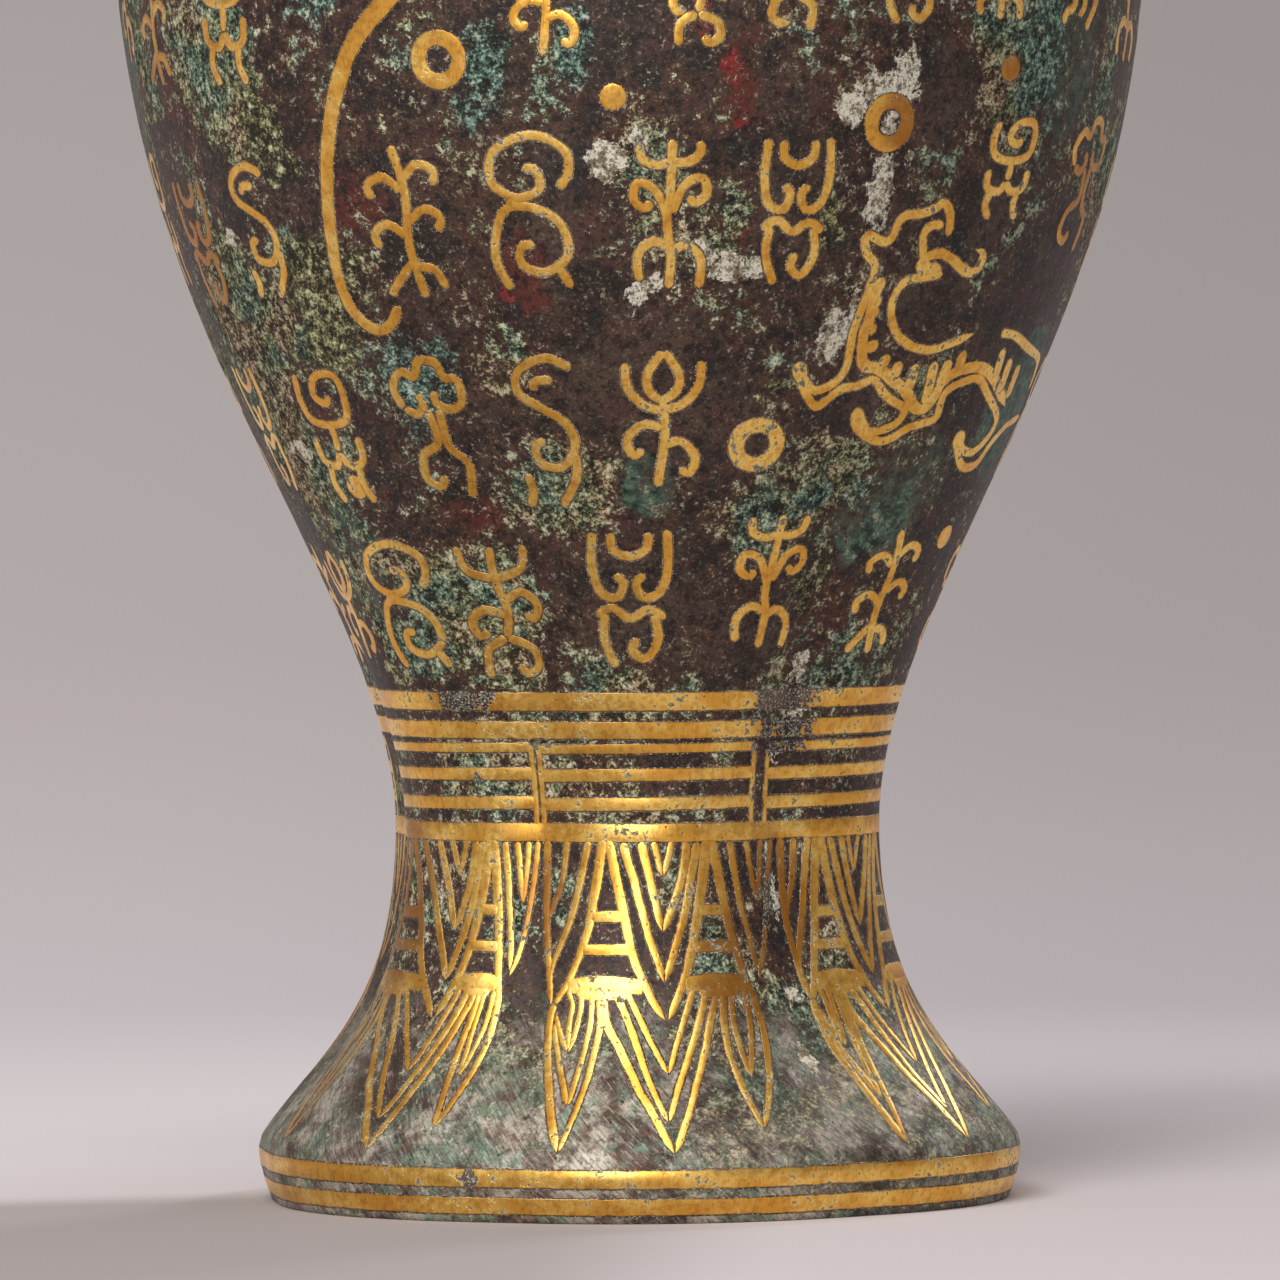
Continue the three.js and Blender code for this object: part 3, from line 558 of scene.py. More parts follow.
@dataclass(frozen=True)
class BuriedBronze:
    """The bronze of the castings: near-black brown under green, olive and pale crusts.

    Attributes:
        name: The material's name.
        greens: Where green crust has grown.
        films: Where a thin, smooth green lies on the ground.
        teals: Where the crust is turquoise.
        olives: Where it is yellow-green.
        whites: Where it is chalky.
        scarlets: Where the oxide is bright red.
        reds: Where red copper oxide shows.
        cleans: Where the dark ground has stayed bare.
        foot_dulls_and_shade: Where the foot is darker: painted shade on its front right, and darker
            patches round the rest.
    """

    name: str = "buried_bronze"
    greens: tuple[Bloom, ...] = strewn(
        (24, 146, 8, 1.6), (-18.5, 141, 11), (-37, 120, 16), (-58, 112, 12), (-70, 175, 16, 1.5),
        (-58, 226, 22), (-24, 168, 9), (13.7, 136, 8), (41, 222, 13, 1.4), (120, 230, 30),
        (170, 140, 26), (215, 250, 30), (250, 190, 22),
    )
    films: tuple[Bloom, ...] = strewn(
        (42, 142, 15, 1.3), (33, 135, 9, 1.3), (62, 156, 16, 1.4), (-6, 143, 8, 1.4),
        (52, 222, 14, 1.5), (-64, 130, 14, 1.4), (135, 165, 22, 1.2), (200, 130, 22),
        (268, 222, 22),
    )
    teals: tuple[Bloom, ...] = strewn(
        (-23.8, 222, 9, 2.4), (-12, 228, 9, 1.6), (-37.4, 165, 15, 1.2), (-44, 240, 10),
        (46, 226, 12, 1.8), (22, 139, 5, 1.4), (150, 205, 20, 1.5), (232, 150, 18),
    )
    olives: tuple[Bloom, ...] = strewn(
        (-48.8, 180, 17, 1.2), (-52.7, 212, 13), (27, 124, 8, 1.6), (30, 191, 4.6, 1.4),
        (17, 194.5, 5, 1.6), (12, 163, 5, 0.7), (95, 170, 20), (195, 215, 24),
    )
    whites: tuple[Bloom, ...] = strewn(
        (25, 220.5, 4.6, 2.3), (17.4, 224.6, 2.6, 1.2), (21.4, 219, 5.4), (18.8, 215, 3.5, 1.5),
        (24, 212, 3.6), (23.8, 203.5, 3.6, 1.7), (23.7, 196.5, 4, 2.4), (26.8, 205.5, 2, 1.3),
        (20.2, 172, 5, 1.3), (22.6, 178, 1.9, 3), (1.8, 187.6, 4, 0.8), (5.2, 184.4, 5.2, 0.8),
        (8.2, 184.6, 3.2), (-6.2, 180, 3.4, 1.2), (-3.4, 182.6, 3.2, 0.8), (-10.2, 206, 6.2, 0.8),
        (-6.2, 209.6, 2.6, 1.4), (-64, 192, 3), (-66, 150, 4, 0.7), (30.3, 107, 3.5),
        (32.2, 100, 3.5), (27.2, 42, 3, 1.6), (29, 62, 1.8, 4), (27, 30, 3, 2.4),
        (28, 101, 2.2, 2.6), (27.4, 90, 1.4, 3), (26.6, 71, 1.3, 5), (140, 120, 9),
        (205, 180, 12, 1.5),
    )
    scarlets: tuple[Bloom, ...] = strewn(
        (5.4, 214.4, 1.6, 3.8), (4, 223.4, 2.8, 2), (1, 232, 2.4, 3), (-22.6, 182, 1.8, 2.8),
        (6.6, 192, 1.4, 4),
    )
    reds: tuple[Bloom, ...] = strewn(
        (4.4, 219, 8, 2.4), (-21.8, 182, 7, 2.6), (-41.8, 200, 12), (-55.6, 156, 11),
        (-34, 138, 10), (-68, 225, 16, 1.6), (34, 118, 12, 1.2), (110, 250, 20), (185, 170, 18),
    )
    cleans: tuple[Bloom, ...] = strewn(
        (-8, 165, 17, 1.3), (-14, 200, 9, 1.6), (4, 155, 14), (-8, 121, 16), (-62, 201, 9),
        (40, 196, 14), (36, 180, 12), (13, 200, 9, 2), (15, 112, 12), (30.5, 218, 9, 1.3),
        (11, 216, 8, 1.6), (-17, 182, 10, 1.5), (56, 170, 20, 1.6), (26, 158, 8),
    )
    # Painted shade on the front right of the foot, with darker patches elsewhere round it.
    foot_dulls_and_shade: tuple[Bloom, ...] = strewn(
        (10, 30, 24, 1.2), (24, 34, 16), (34, 12, 18), (-58, 24, 14), (100, 24, 22), (170, 26, 24),
        (255, 24, 20),
    )

    def make(self) -> bpy.types.Material:
        """Builds the material.

        Returns:
            The finished material.
        """
        material = bpy.data.materials.new(self.name)
        bench = Bench(material)
        where = bench.place()
        ragged = bench.drift(bench.drift(where, 18.0, 10.0), 3.2, 3.0)
        broad = bench.grain(where, 46.0, 3.0)
        middle = bench.grain(where, 12.0, 8.0, 0.68)
        close = bench.grain(where + (31.0, 7.0, 3.0), 2.6, 6.0, 0.74)
        grit = bench.grain(where + (3.0, 11.0, 5.0), 0.75, 4.0, 0.72)
        crumbs = close * 0.56 + grit * 0.44
        crumbly = (close - 0.5) * 0.34 + (grit - 0.5) * 0.22
        height = where.part("Z")
        turn = where.part("X").does("ARCTAN2", where.part("Y") * -1.0)
        level = height + middle * 30.0
        # The creases between the lobes, from the top of the foot to the lower belly, where painted
        # shade darkens the ground.
        crease_shade = 1.0 - (turn * (LOBES / 2.0)).does("COSINE").does("ABSOLUTE").between(0.03, 0.34)
        crease_shade = crease_shade * level.between(42.0, 60.0) * (1.0 - level.between(112.0, 150.0))

        ground = self._ground(bench, where, middle, close, grit)
        red = patches(ragged, self.reds) * 0.19 + middle * 0.6 + crumbly
        ground = bench.wash(ground, tint(96, 42, 34), red.between(0.4, 0.5) * 0.8)
        near = bench.drift(bench.drift(where, 9.0, 3.6), 2.4, 3.4)
        scarlet = patches(near, self.scarlets) * 0.4 + crumbly * 1.2
        scarlet = scarlet.between(0.12, 0.34) * (grit.between(0.4, 0.52) * 0.6 + 0.3)
        ground = bench.wash(ground, tint(142, 36, 38), scarlet)

        # The foot's flare takes the lighter tone below, which is partly a painted sheen of the top
        # light on its upward-facing metal.
        flare = 1.0 - (height + middle * 16.0).between(36.0, 56.0)
        hatch = bench.grain(bench.wrap(where, 1.7, 0.34, 0.8), 1.0, 4.0, 0.7)
        ground = bench.wash(ground, self._foot_patina_and_sheen(bench, where, middle, close, hatch), flare)
        # The foot is darkened at these patches: painted shade on its front right, darker patches
        # elsewhere.
        foot_dull_and_shade = patches(ragged, self.foot_dulls_and_shade) * flare * middle.between(0.36, 0.52)
        ground = bench.wash(ground, tint(60, 48, 38), foot_dull_and_shade * 0.85)
        # Painted shade: the creases between the lobes are darkened.
        ground = bench.wash(ground, tint(52, 44, 38), crease_shade * middle.between(0.34, 0.54) * 0.8)

        cleared = patches(ragged, self.cleans)
        grown_field = (
            broad * 0.35
            + middle * 0.55
            + crumbly * 0.9
            + patches(ragged, self.greens) * 0.125
            - cleared * 0.15
        )
        film = patches(ragged, self.films) * 0.3 + middle * 0.6 + crumbly * 0.7
        film = film.between(0.4, 0.52)
        skin = bench.wash(tint(50, 66, 56), tint(88, 122, 102), close.between(0.4, 0.58))
        skin = bench.wash(skin, tint(120, 146, 124), crumbs.between(0.54, 0.62) * 0.6)
        ground = bench.wash(ground, skin, film * 0.85)
        crust = (grown_field - film * 0.03).between(0.456, 0.504) * (1.0 - flare * 0.5)
        rind = grown_field.between(0.41, 0.45) * (1.0 - crust) * (1.0 - flare)
        ground = bench.wash(ground, tint(84, 52, 40), rind * 0.6)
        hue = bench.grain(where + (8.0, 4.0, 1.0), 15.0, 5.0, 0.6)
        colour = bench.wash(ground, self._green(bench, hue, middle, crumbs), crust)

        teal_field = patches(ragged, self.teals) * 0.24 + middle * 0.5 + crumbly
        teal = teal_field.between(0.41, 0.5)
        colour = bench.wash(colour, self._teal(bench, crumbs), teal * 0.9)
        olive_field = patches(ragged, self.olives) * 0.26 + middle * 0.45 + crumbly
        olive = olive_field.between(0.37, 0.47)
        colour = bench.wash(colour, self._olive(bench, where, crumbs), olive * 0.92)
        white_field = patches(near, self.whites) * 0.42 + middle * 0.3 + crumbly * 1.9
        white = white_field.between(0.33, 0.39)
        chalk = bench.wash(tint(128, 112, 88), tint(228, 219, 198), close.between(0.42, 0.54))
        chalk = bench.wash(chalk, tint(60, 52, 42), grit.between(0.54, 0.6) * 0.8)
        colour = bench.wash(colour, chalk, white)

        scatter = bench.grain(where + (6.0, 2.0, 5.0), 9.0, 4.0, 0.6).between(0.42, 0.56)
        fleck = crumbs.between(0.545, 0.6) * (scatter * 0.8 + 0.1) * (1.0 - cleared * 0.8)
        colour = bench.wash(colour, tint(190, 184, 154), fleck * 0.75)
        dark = 1.0 - bench.grain(where + (1.0, 9.0, 4.0), 1.3, 4.0, 0.7).between(0.38, 0.47)
        colour = bench.wash(colour, tint(22, 18, 15), dark * (0.7 - flare * 0.3))
        pits = (1.0 - bench.cells(where, 3.4).between(0.05, 0.13)) * close.between(0.42, 0.6)
        colour = bench.wash(colour, tint(24, 22, 20), pits * 0.8)

        grown = crust | teal | olive | white
        relief = (
            grown * (0.3 + crumbs * 0.9)
            + close * (0.35 - flare * 0.15)
            + middle * 0.4
            + grit * 0.22
            + hatch * 0.18 * flare
            - pits * 0.6
        )
        shape = bench.add(
            "ShaderNodeBump", {}, {"Strength": 0.6, "Distance": 0.0009, "Height": relief}
        )
        shader = bench.add(
            "ShaderNodeBsdfPrincipled",
            {},
            {
                "Base Color": colour,
                "Metallic": (1.0 - grown) * (0.12 + flare * 0.3),
                "Roughness": 0.44 + grown * 0.3 + close * 0.16 - flare * 0.06,
                "Specular IOR Level": 0.3,
                "Normal": shape,
            },
        )
        bench.add("ShaderNodeOutputMaterial", {}, {"Surface": shader})
        return material

    def _ground(self, bench: Bench, where: Flow, middle: Flow, close: Flow, grit: Flow) -> Flow:
        """Mixes the dark ground.

        Args:
            bench: The finish.
            where: The place, in millimetres.
            middle: The clouds of a centimetre.
            close: The clouds of a few millimetres.
            grit: The finest clouds.

        Returns:
            The colour.
        """
        ground = bench.wash(tint(44, 35, 30), tint(80, 62, 51), middle.between(0.38, 0.58))
        plum = bench.grain(where + (9.0, 1.0, 4.0), 7.0, 6.0, 0.68).between(0.48, 0.6)
        ground = bench.wash(ground, tint(80, 50, 44), plum * 0.7)
        night = bench.grain(where + (2.0, 8.0, 6.0), 9.0, 6.0, 0.66).between(0.53, 0.64)
        ground = bench.wash(ground, tint(34, 34, 36), night * 0.75)
        ground = bench.wash(ground, tint(22, 17, 15), (1.0 - close.between(0.38, 0.5)) * 0.8)
        return bench.wash(ground, tint(118, 102, 86), grit.between(0.53, 0.66) * 0.55)

    def _foot_patina_and_sheen(self, bench: Bench, where: Flow, middle: Flow, close: Flow, hatch: Flow) -> Flow:
        """Mixes the lighter metal of the foot: grey, green and rusty patina with brush marks,
        partly lightened by a painted sheen of the top light.

        Args:
            bench: The finish.
            where: The place, in millimetres.
            middle: The clouds of a centimetre.
            close: The clouds of a few millimetres.
            hatch: The slanting brush marks.

        Returns:
            The colour.
        """
        cloud = bench.grain(where + (5.0, 5.0, 9.0), 13.0, 6.0, 0.66)
        # The pale greys are partly a painted sheen of the top light.
        tone = bench.wash(tint(84, 68, 58), tint(186, 176, 160), cloud.between(0.4, 0.54))
        tone = bench.wash(tone, tint(216, 210, 196), middle.between(0.52, 0.64) * 0.7)
        moss = bench.grain(where, 10.0, 6.0, 0.68).between(0.48, 0.56)
        tone = bench.wash(tone, tint(106, 128, 108), moss * 0.75)
        rust = bench.grain(where + (4.0, 9.0, 9.0), 8.0, 6.0, 0.68).between(0.5, 0.59)
        tone = bench.wash(tone, tint(104, 74, 66), rust * 0.7)
        # Darker and paler brush marks; the paler ones are partly a painted sheen of the top light.
        tone = bench.wash(tone, tint(66, 52, 44), (1.0 - hatch.between(0.38, 0.52)) * 0.55)
        tone = bench.wash(tone, tint(212, 206, 192), hatch.between(0.53, 0.66) * 0.42)
        spots = 1.0 - bench.cells(bench.drift(where, 3.0, 2.6), 13.0).between(0.08, 0.22)
        tone = bench.wash(tone, tint(116, 156, 138), spots * close.between(0.4, 0.55) * 0.7)
        return bench.wash(tone, tint(44, 34, 30), (1.0 - close.between(0.34, 0.47)) * 0.7)

    def _crumbled(self, bench: Bench, crumbs: Flow, *tones: Feed) -> Flow:
        """Mixes a crust of crumbs, with painted light and shade on them.

        Args:
            bench: The finish.
            crumbs: The clouds that the crumbs follow.
            *tones: The colours of the crumbs' hollows in painted shade, of their body, of the
                    crumbs painted lit, and of the painted highlights on their tips.

        Returns:
            The colour.
        """
        # Painted shade in the hollows, painted light on the crumbs and painted highlights on their
        # tips.
        hollow, body, lit, highlit_tips = tones
        tone = bench.wash(hollow, body, crumbs.between(0.445, 0.48))
        tone = bench.wash(tone, lit, crumbs.between(0.5, 0.53))
        return bench.wash(tone, highlit_tips, crumbs.between(0.555, 0.59) * 0.9)

    def _green(self, bench: Bench, hue: Flow, middle: Flow, crumbs: Flow) -> Flow:
        """Mixes the green crust, brown in places and bluish in others.

        Args:
            bench: The finish.
            hue: The clouds that its hue follows.
            middle: The clouds of a centimetre.
            crumbs: The clouds that the crumbs follow.

        Returns:
            The colour.
        """
        body = bench.wash(tint(84, 84, 58), tint(68, 84, 70), hue.between(0.48, 0.58))
        body = bench.wash(body, tint(98, 74, 54), (1.0 - hue.between(0.42, 0.48)) * 0.85)
        # The lit colours and the pale tips below are painted light on the crumbs; the near-black
        # hollows are painted shade.
        lit = bench.wash(tint(160, 158, 118), tint(130, 150, 124), hue.between(0.48, 0.58))
        lit = bench.wash(lit, tint(182, 158, 124), (1.0 - hue.between(0.42, 0.48)) * 0.85)
        lit = bench.wash(lit, tint(160, 168, 142), middle.between(0.54, 0.64) * 0.6)
        return self._crumbled(bench, crumbs, tint(28, 26, 20), body, lit, tint(224, 220, 188))

    def _teal(self, bench: Bench, crumbs: Flow) -> Flow:
        """Mixes the turquoise crust."""
        # Painted shade in the hollows, painted light and highlights on the crumbs.
        tones = tint(28, 34, 30), tint(66, 90, 80), tint(122, 152, 136), tint(206, 214, 190)
        return self._crumbled(bench, crumbs, *tones)

    def _olive(self, bench: Bench, where: Flow, crumbs: Flow) -> Flow:
        """Mixes the yellow-green crust, with fine crumbs as on lichen.

        Args:
            bench: The finish.
            where: The place, in millimetres.
            crumbs: The clouds that the crumbs follow.

        Returns:
            The colour.
        """
        curd = bench.cells(bench.drift(where, 2.0, 0.8), 2.2).between(0.15, 0.55)
        grown = crumbs + (0.5 - curd) * 0.08
        # Painted shade in the hollows, painted light and highlights on the crumbs.
        tones = tint(38, 34, 22), tint(104, 100, 66), tint(168, 162, 118), tint(226, 218, 176)
        return self._crumbled(bench, grown, *tones)


@dataclass(frozen=True)
class GildedInlay:
    """The gold laid into the bronze, with its dark seam, fine scratches and wear.

    Attributes:
        name: The material's name.
        losses: Where the gold has gone and its bed shows.
        painted_shade_patches: Where painted shade darkens the gold to brown.
    """

    name: str = "gilded_inlay"
    losses: tuple[Bloom, ...] = strewn(
        (-46, 101, 10, 0.45), (28, 101.5, 10, 0.5), (29, 95.5, 10.5, 0.4), (-33, 8.7, 2.2, 1.4),
        (23.2, 82, 1.8, 5), (28, 91.5, 9, 0.35), (-45, 85, 1.5, 1), (26, 58, 4, 3),
        (25, 36, 3.5, 2.5), (-29.5, 30, 3, 3),
    )
    # Painted shade: the gold is darkened to brown towards the sides of the vase and beside the
    # creases.
    painted_shade_patches: tuple[Bloom, ...] = strewn(
        (14, 47, 12, 1.6), (27, 60, 13, 1.6), (-30, 60, 7, 2.2), (27, 214, 12), (41, 224, 6),
        (-70, 60, 14, 2), (-75, 200, 24, 2), (62, 200, 14, 1.6),
    )

    def make(self) -> bpy.types.Material:
        """Builds the material.

        Returns:
            The finished material.
        """
        material = bpy.data.materials.new(self.name)
        bench = Bench(material)
        where = bench.place()
        ragged = bench.drift(where, 4.0, 2.0)
        inside = bench.add("ShaderNodeAttribute", {"attribute_name": "edge"}, {}, "Fac")
        middle = bench.grain(where, 12.0, 4.0, 0.6)
        close = bench.grain(where, 1.6, 4.0, 0.65)
        grit = bench.grain(where, 0.4, 2.0, 0.6)
        strokes = bench.grain(bench.wrap(where, 7.0, 0.3), 1.0, 3.0, 0.65)

        kept = (inside + (close - 0.5) * 0.5).between(-0.05, 0.12)
        lost = patches(ragged, self.losses)
        flaked = (middle * 0.45 + close * 0.6).between(0.69, 0.74)
        gone = lost + (middle - 0.5) * 2.0 + (close - 0.5) * 3.2
        shown = kept * (1.0 - gone.between(0.42, 0.52)) * (1.0 - flaked)

        metal = bench.wash(tint(230, 171, 72), tint(255, 212, 112), middle.between(0.4, 0.6))
        metal = bench.wash(metal, tint(170, 110, 46), (1.0 - strokes.between(0.34, 0.5)) * 0.32)
        metal = bench.wash(metal, tint(250, 216, 130), strokes.between(0.54, 0.66) * 0.3)
        metal = bench.wash(metal, tint(176, 116, 52), (1.0 - close.between(0.4, 0.5)) * 0.4)
        # Painted shade darkens the gold to brown at those patches, broken up by random clouds.
        brown = (patches(ragged, self.painted_shade_patches) * 0.5 + middle * 0.5).between(0.44, 0.72)
        metal = bench.wash(metal, tint(158, 98, 42), brown * 0.75)
        specks = bench.cells(where, 2.3).between(0.07, 0.15)
        metal = bench.wash(metal, tint(96, 54, 26), (1.0 - specks) * close.between(0.4, 0.6) * 0.8)
        rim = 1.0 - (inside + (close - 0.5) * 0.3).between(0.02, 0.3)
        metal = bench.wash(metal, tint(140, 84, 34), rim * 0.7)

        bed = bench.wash(tint(34, 27, 23), tint(88, 72, 58), middle.between(0.4, 0.56))
        bed = bench.wash(bed, tint(128, 126, 102), close.between(0.54, 0.57) * 0.5)
        bed = bench.wash(bed, tint(206, 196, 178), grit.between(0.56, 0.62) * 0.7)
        colour = bench.wash(bed, metal, shown)
        relief = shown * 0.9 + middle * 0.4 + strokes * 0.12 + grit * 0.06 + specks * 0.2
        shape = bench.add(
            "ShaderNodeBump", {}, {"Strength": 0.45, "Distance": 0.0004, "Height": relief}
        )
        shader = bench.add(
            "ShaderNodeBsdfPrincipled",
            {},
            {
                "Base Color": colour,
                "Metallic": shown * 0.96,
                "Roughness": 0.62 - shown * 0.33 + close * 0.08 + brown * 0.1,
                "Normal": shape,
            },
        )
        bench.add("ShaderNodeOutputMaterial", {}, {"Surface": shader})
        return material


def keep(
    mesh_maker: bmesh.types.BMesh,
    name: str,
    finish: bpy.types.Material,
    nodes: Sequence[str],
) -> bpy.types.Object:
    """Turns a finished bmesh into a piece of the vase.

    Args:
        mesh_maker: The shape, in metres. It is freed.
        name: The piece's name.
        finish: Its material.
        nodes: The solids that it stands for.

    Returns:
        The piece.
    """
    mesh = bpy.data.meshes.new(name)
    mesh_maker.to_mesh(mesh)
    mesh_maker.free()
    mesh.shade_smooth()
    mesh.materials.append(finish)
    piece = bpy.data.objects.new(name, mesh)
    bpy.context.scene.collection.objects.link(piece)
    if nodes:
        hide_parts(*nodes)
    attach(piece, "root")
    LOG.info("%s: %d faces", name, len(mesh.polygons))
    return piece


@dataclass
class Casting:
    """A hollow casting that was turned and then pressed into lobes.

    Attributes:
        name: The piece's name.
        node: The solid that it stands for.
        wall: Its outer skin.
        profile: The closed outline of the metal, as (radius, height) points.
    """

    name: str
    node: str
    wall: LobedWall
    profile: Sequence[tuple[float, float]]

    def build(self) -> bmesh.types.BMesh:
        """Spins the outline and gives the ring its lobes.

        Returns:
            The shape, in metres.
        """
        shape = bmesh.new()
        ring = [
            bmesh.ops.create_vert(shape, co=self.wall.spot(0.0, radius, height))["vert"][0]
            for radius, height in self.profile
        ]
        edges = [shape.edges.new((a, b)) for a, b in zip(ring, ring[1:] + ring[:1])]
        bmesh.ops.spin(
            shape,
            geom=ring + edges,
            cent=(0.0, 0.0, 0.0),
            axis=(0.0, 0.0, 1.0),
            angle=math.tau,
            steps=SPIN_STEPS,
            use_merge=True,
        )
        bmesh.ops.remove_doubles(shape, verts=shape.verts, dist=1e-6)
        for vertex in shape.verts:
            self._press(vertex)
        bmesh.ops.recalc_face_normals(shape, faces=shape.faces)
        return shape

    def _press(self, vertex: bmesh.types.BMVert) -> None:
        """Moves one point of the turned ring onto the lobed section.

        Args:
            vertex: The point.
        """
        angle = math.degrees(math.atan2(vertex.co.x, -vertex.co.y))
        radius = vertex.co.xy.length / MM
        height = vertex.co.z / MM
        on_skin = (
            self.wall.heights[0] + 0.5 < height < self.wall.heights[-1] - 0.05
            and radius > self.wall.radius(height) - 0.2
        )
        if on_skin:
            vertex.co = self.wall.point(angle, height)
        else:
            radius += self.wall.swell.at(height) * self.wall.lobe(angle)
            vertex.co = self.wall.spot(angle, radius, height)

    def dress(self, finish: bpy.types.Material) -> bpy.types.Object:
        """Builds the casting and gives it its finish."""
        return keep(self.build(), self.name, finish, [self.node])


@dataclass
class Castings:
    """The three castings of the vase.

    Attributes:
        wall_thickness: The body's metal.
        neck_thickness: The neck's metal.
        hole: The radius of the hole that the neck stands in.
        bore: The radius of the neck's passage.
        spigot: The outer radius of the neck's foot in the hole.
        spigot_foot: How far down that foot reaches.
        foot_bore: The radius of the recess below the floor.
        ledge: The radius inside the ledge that the floor meets.
        ledge_heights: The bottom and top of that ledge.
        plate: The radius of the floor plate.
        plate_heights: Its bottom and top.
        easing: How much sharp corners are rounded.
        skin_step: How far apart the rows of the body's skin lie.
        inner_step: How far apart the rows of its inner wall lie.
        inner_foot: How high the lowest of these lies.
        throat: Between which heights the neck's inner wall follows its skin.
        throat_step: How far apart the rows of the throat lie.
        neck_step: How far apart the rows of the neck's skin lie.
        lip_rows: The heights of the rows that round the lip.
        passage: The heights of the rows of the neck's straight passage.
    """

    wall_thickness: float = 4.0
    neck_thickness: float = 3.5
    hole: float = 26.0
    bore: float = 22.5
    spigot: float = 25.7
    spigot_foot: float = 319.3
    foot_bore: float = 69.7
    ledge: float = 65.7
    ledge_heights: tuple[float, float] = (9.3, 13.3)
    plate: float = 69.4
    plate_heights: tuple[float, float] = (6.0, 9.0)
    easing: float = 0.5
    skin_step: float = 2.0
    inner_step: float = 5.5
    inner_foot: float = 15.6
    throat: tuple[float, float] = (381.5, 344.0)
    throat_step: float = 1.6
    neck_step: float = 1.5
    lip_rows: tuple[float, ...] = (382.3, 383.0, 383.7, 384.4, 385.1, 385.8)
    passage: tuple[float, ...] = (338.0, 328.0)

    def _rows(self, wall: LobedWall, start: float, end: float, step: float) -> list[float]:
        """Spreads heights evenly along a wall.

        Args:
            wall: The wall.
            start: The first height.
            end: The last height.
            step: The distance from row to row.

        Returns:
            The heights, from start to end.
        """
        heights, travelled = [start], 0.0
        for low, high in zip(wall.heights, wall.heights[1:]):
            if not min(start, end) < high < max(start, end):
                continue
            travelled += math.hypot(high - low, wall.radius(high) - wall.radius(low))
            if travelled >= step:
                heights.append(high)
                travelled = 0.0
        if start > end:
            heights = [start, *reversed(heights[1:])]
        return [*heights, end]

    def _inner(self, wall: LobedWall, height: float, thickness: float) -> tuple[float, float]:
        """Returns the point of the inner wall behind a height on the outer one."""
        lean = wall.lean(height)
        return wall.radius(height) - lean.x * thickness, height - lean.y * thickness

    def body(self) -> Casting:
        """Outlines the body, from its foot over the skin to the shoulder and back inside.

        Returns:
            The body's casting.
        """
        wall, ease_by = BODY_WALL, self.easing
        top = wall.heights[-1]
        skin = [(wall.radius(h), h) for h in self._rows(wall, 2 * ease_by, top, self.skin_step)]
        inside = [
            self._inner(wall, h, self.wall_thickness)
            for h in self._rows(wall, top - 1.0, self.inner_foot, self.inner_step)
        ]
        low, high = self.ledge_heights
        profile = [
            (wall.radius(0.0) - ease_by, 0.0),
            (wall.radius(0.0) - ease_by * 0.2, ease_by * 0.35),
            *skin,
            (self.hole + ease_by, top),
            (self.hole, top - ease_by),
            (self.hole, inside[0][1] + 0.2),
            *inside,
            (inside[-1][0] + 0.1, high),
            (self.ledge, high),
            (self.ledge, low),
            (self.foot_bore, low),
            (self.foot_bore, ease_by),
            (self.foot_bore + ease_by, 0.0),
        ]
        return Casting("body_casting", "vase_body", wall, profile)

    def neck(self) -> Casting:
        """Outlines the neck, from its spigot over the throat and lip and back inside.

        Returns:
            The neck's casting.
        """
        wall, ease_by = NECK_WALL, self.easing
        foot, top = wall.heights[0], wall.heights[-1]
        inside = [
            self._inner(wall, h, self.neck_thickness)
            for h in self._rows(wall, *self.throat, self.throat_step)
        ]
        skin = self._rows(wall, foot, self.lip_rows[0], self.neck_step)
        skin += [*self.lip_rows[1:], top - 0.1]
        profile = [
            (self.bore, self.spigot_foot),
            (self.spigot - ease_by, self.spigot_foot),
            (self.spigot, self.spigot_foot + ease_by),
            (self.spigot, foot),
            *[(wall.radius(h), h) for h in skin],
            (wall.radius(top) - 0.4, top),
            (inside[0][0] + 1.0, top),
            (inside[0][0] + 0.2, top - 0.5),
            (inside[0][0] + 0.05, 384.0),
            *[(max(self.bore, radius), height) for radius, height in inside],
            *[(self.bore, height) for height in self.passage],
        ]
        return Casting("neck_casting", "neck_and_mouth", wall, profile)

    def floor_plate(self) -> bmesh.types.BMesh:
        """Builds the floor plate as a lobed disc with eased edges.

        Returns:
            The shape, in metres.
        """
        low, high = self.plate_heights
        shape = bmesh.new()
        bmesh.ops.create_circle(shape, cap_ends=True, segments=SPIN_STEPS, radius=self.plate * MM)
        bmesh.ops.translate(shape, verts=shape.verts, vec=(0.0, 0.0, low * MM))
        raised = bmesh.ops.extrude_face_region(shape, geom=list(shape.faces))["geom"]
        bmesh.ops.translate(
            shape,
            verts=[part for part in raised if isinstance(part, bmesh.types.BMVert)],
            vec=(0.0, 0.0, (high - low) * MM),
        )
        rims = [edge for edge in shape.edges if abs(edge.verts[0].co.z - edge.verts[1].co.z) < 1e-7]
        bmesh.ops.bevel(
            shape,
            geom=rims,
            offset=self.easing * MM,
            segments=2,
            profile=0.5,
            affect="EDGES",
            material=-1,
        )
        for face in list(shape.faces):
            if len(face.verts) > 8:
                bmesh.ops.poke(shape, faces=[face])
        for vertex in shape.verts:
            reach = vertex.co.xy.length / MM
            angle = math.degrees(math.atan2(vertex.co.x, -vertex.co.y))
            swell = BODY_WALL.swell.at(0.0) * BODY_WALL.lobe(angle) * (reach / self.plate) ** 6
            vertex.co = BODY_WALL.spot(angle, reach + swell, vertex.co.z / MM)
        bmesh.ops.recalc_face_normals(shape, faces=shape.faces)
        return shape

    def dress(self, finish: bpy.types.Material) -> None:
        """Builds the castings.

        Args:
            finish: The bronze.
        """
        self.body().dress(finish)
        self.neck().dress(finish)
        keep(self.floor_plate(), "floor_plate", finish, ["base_plate"])


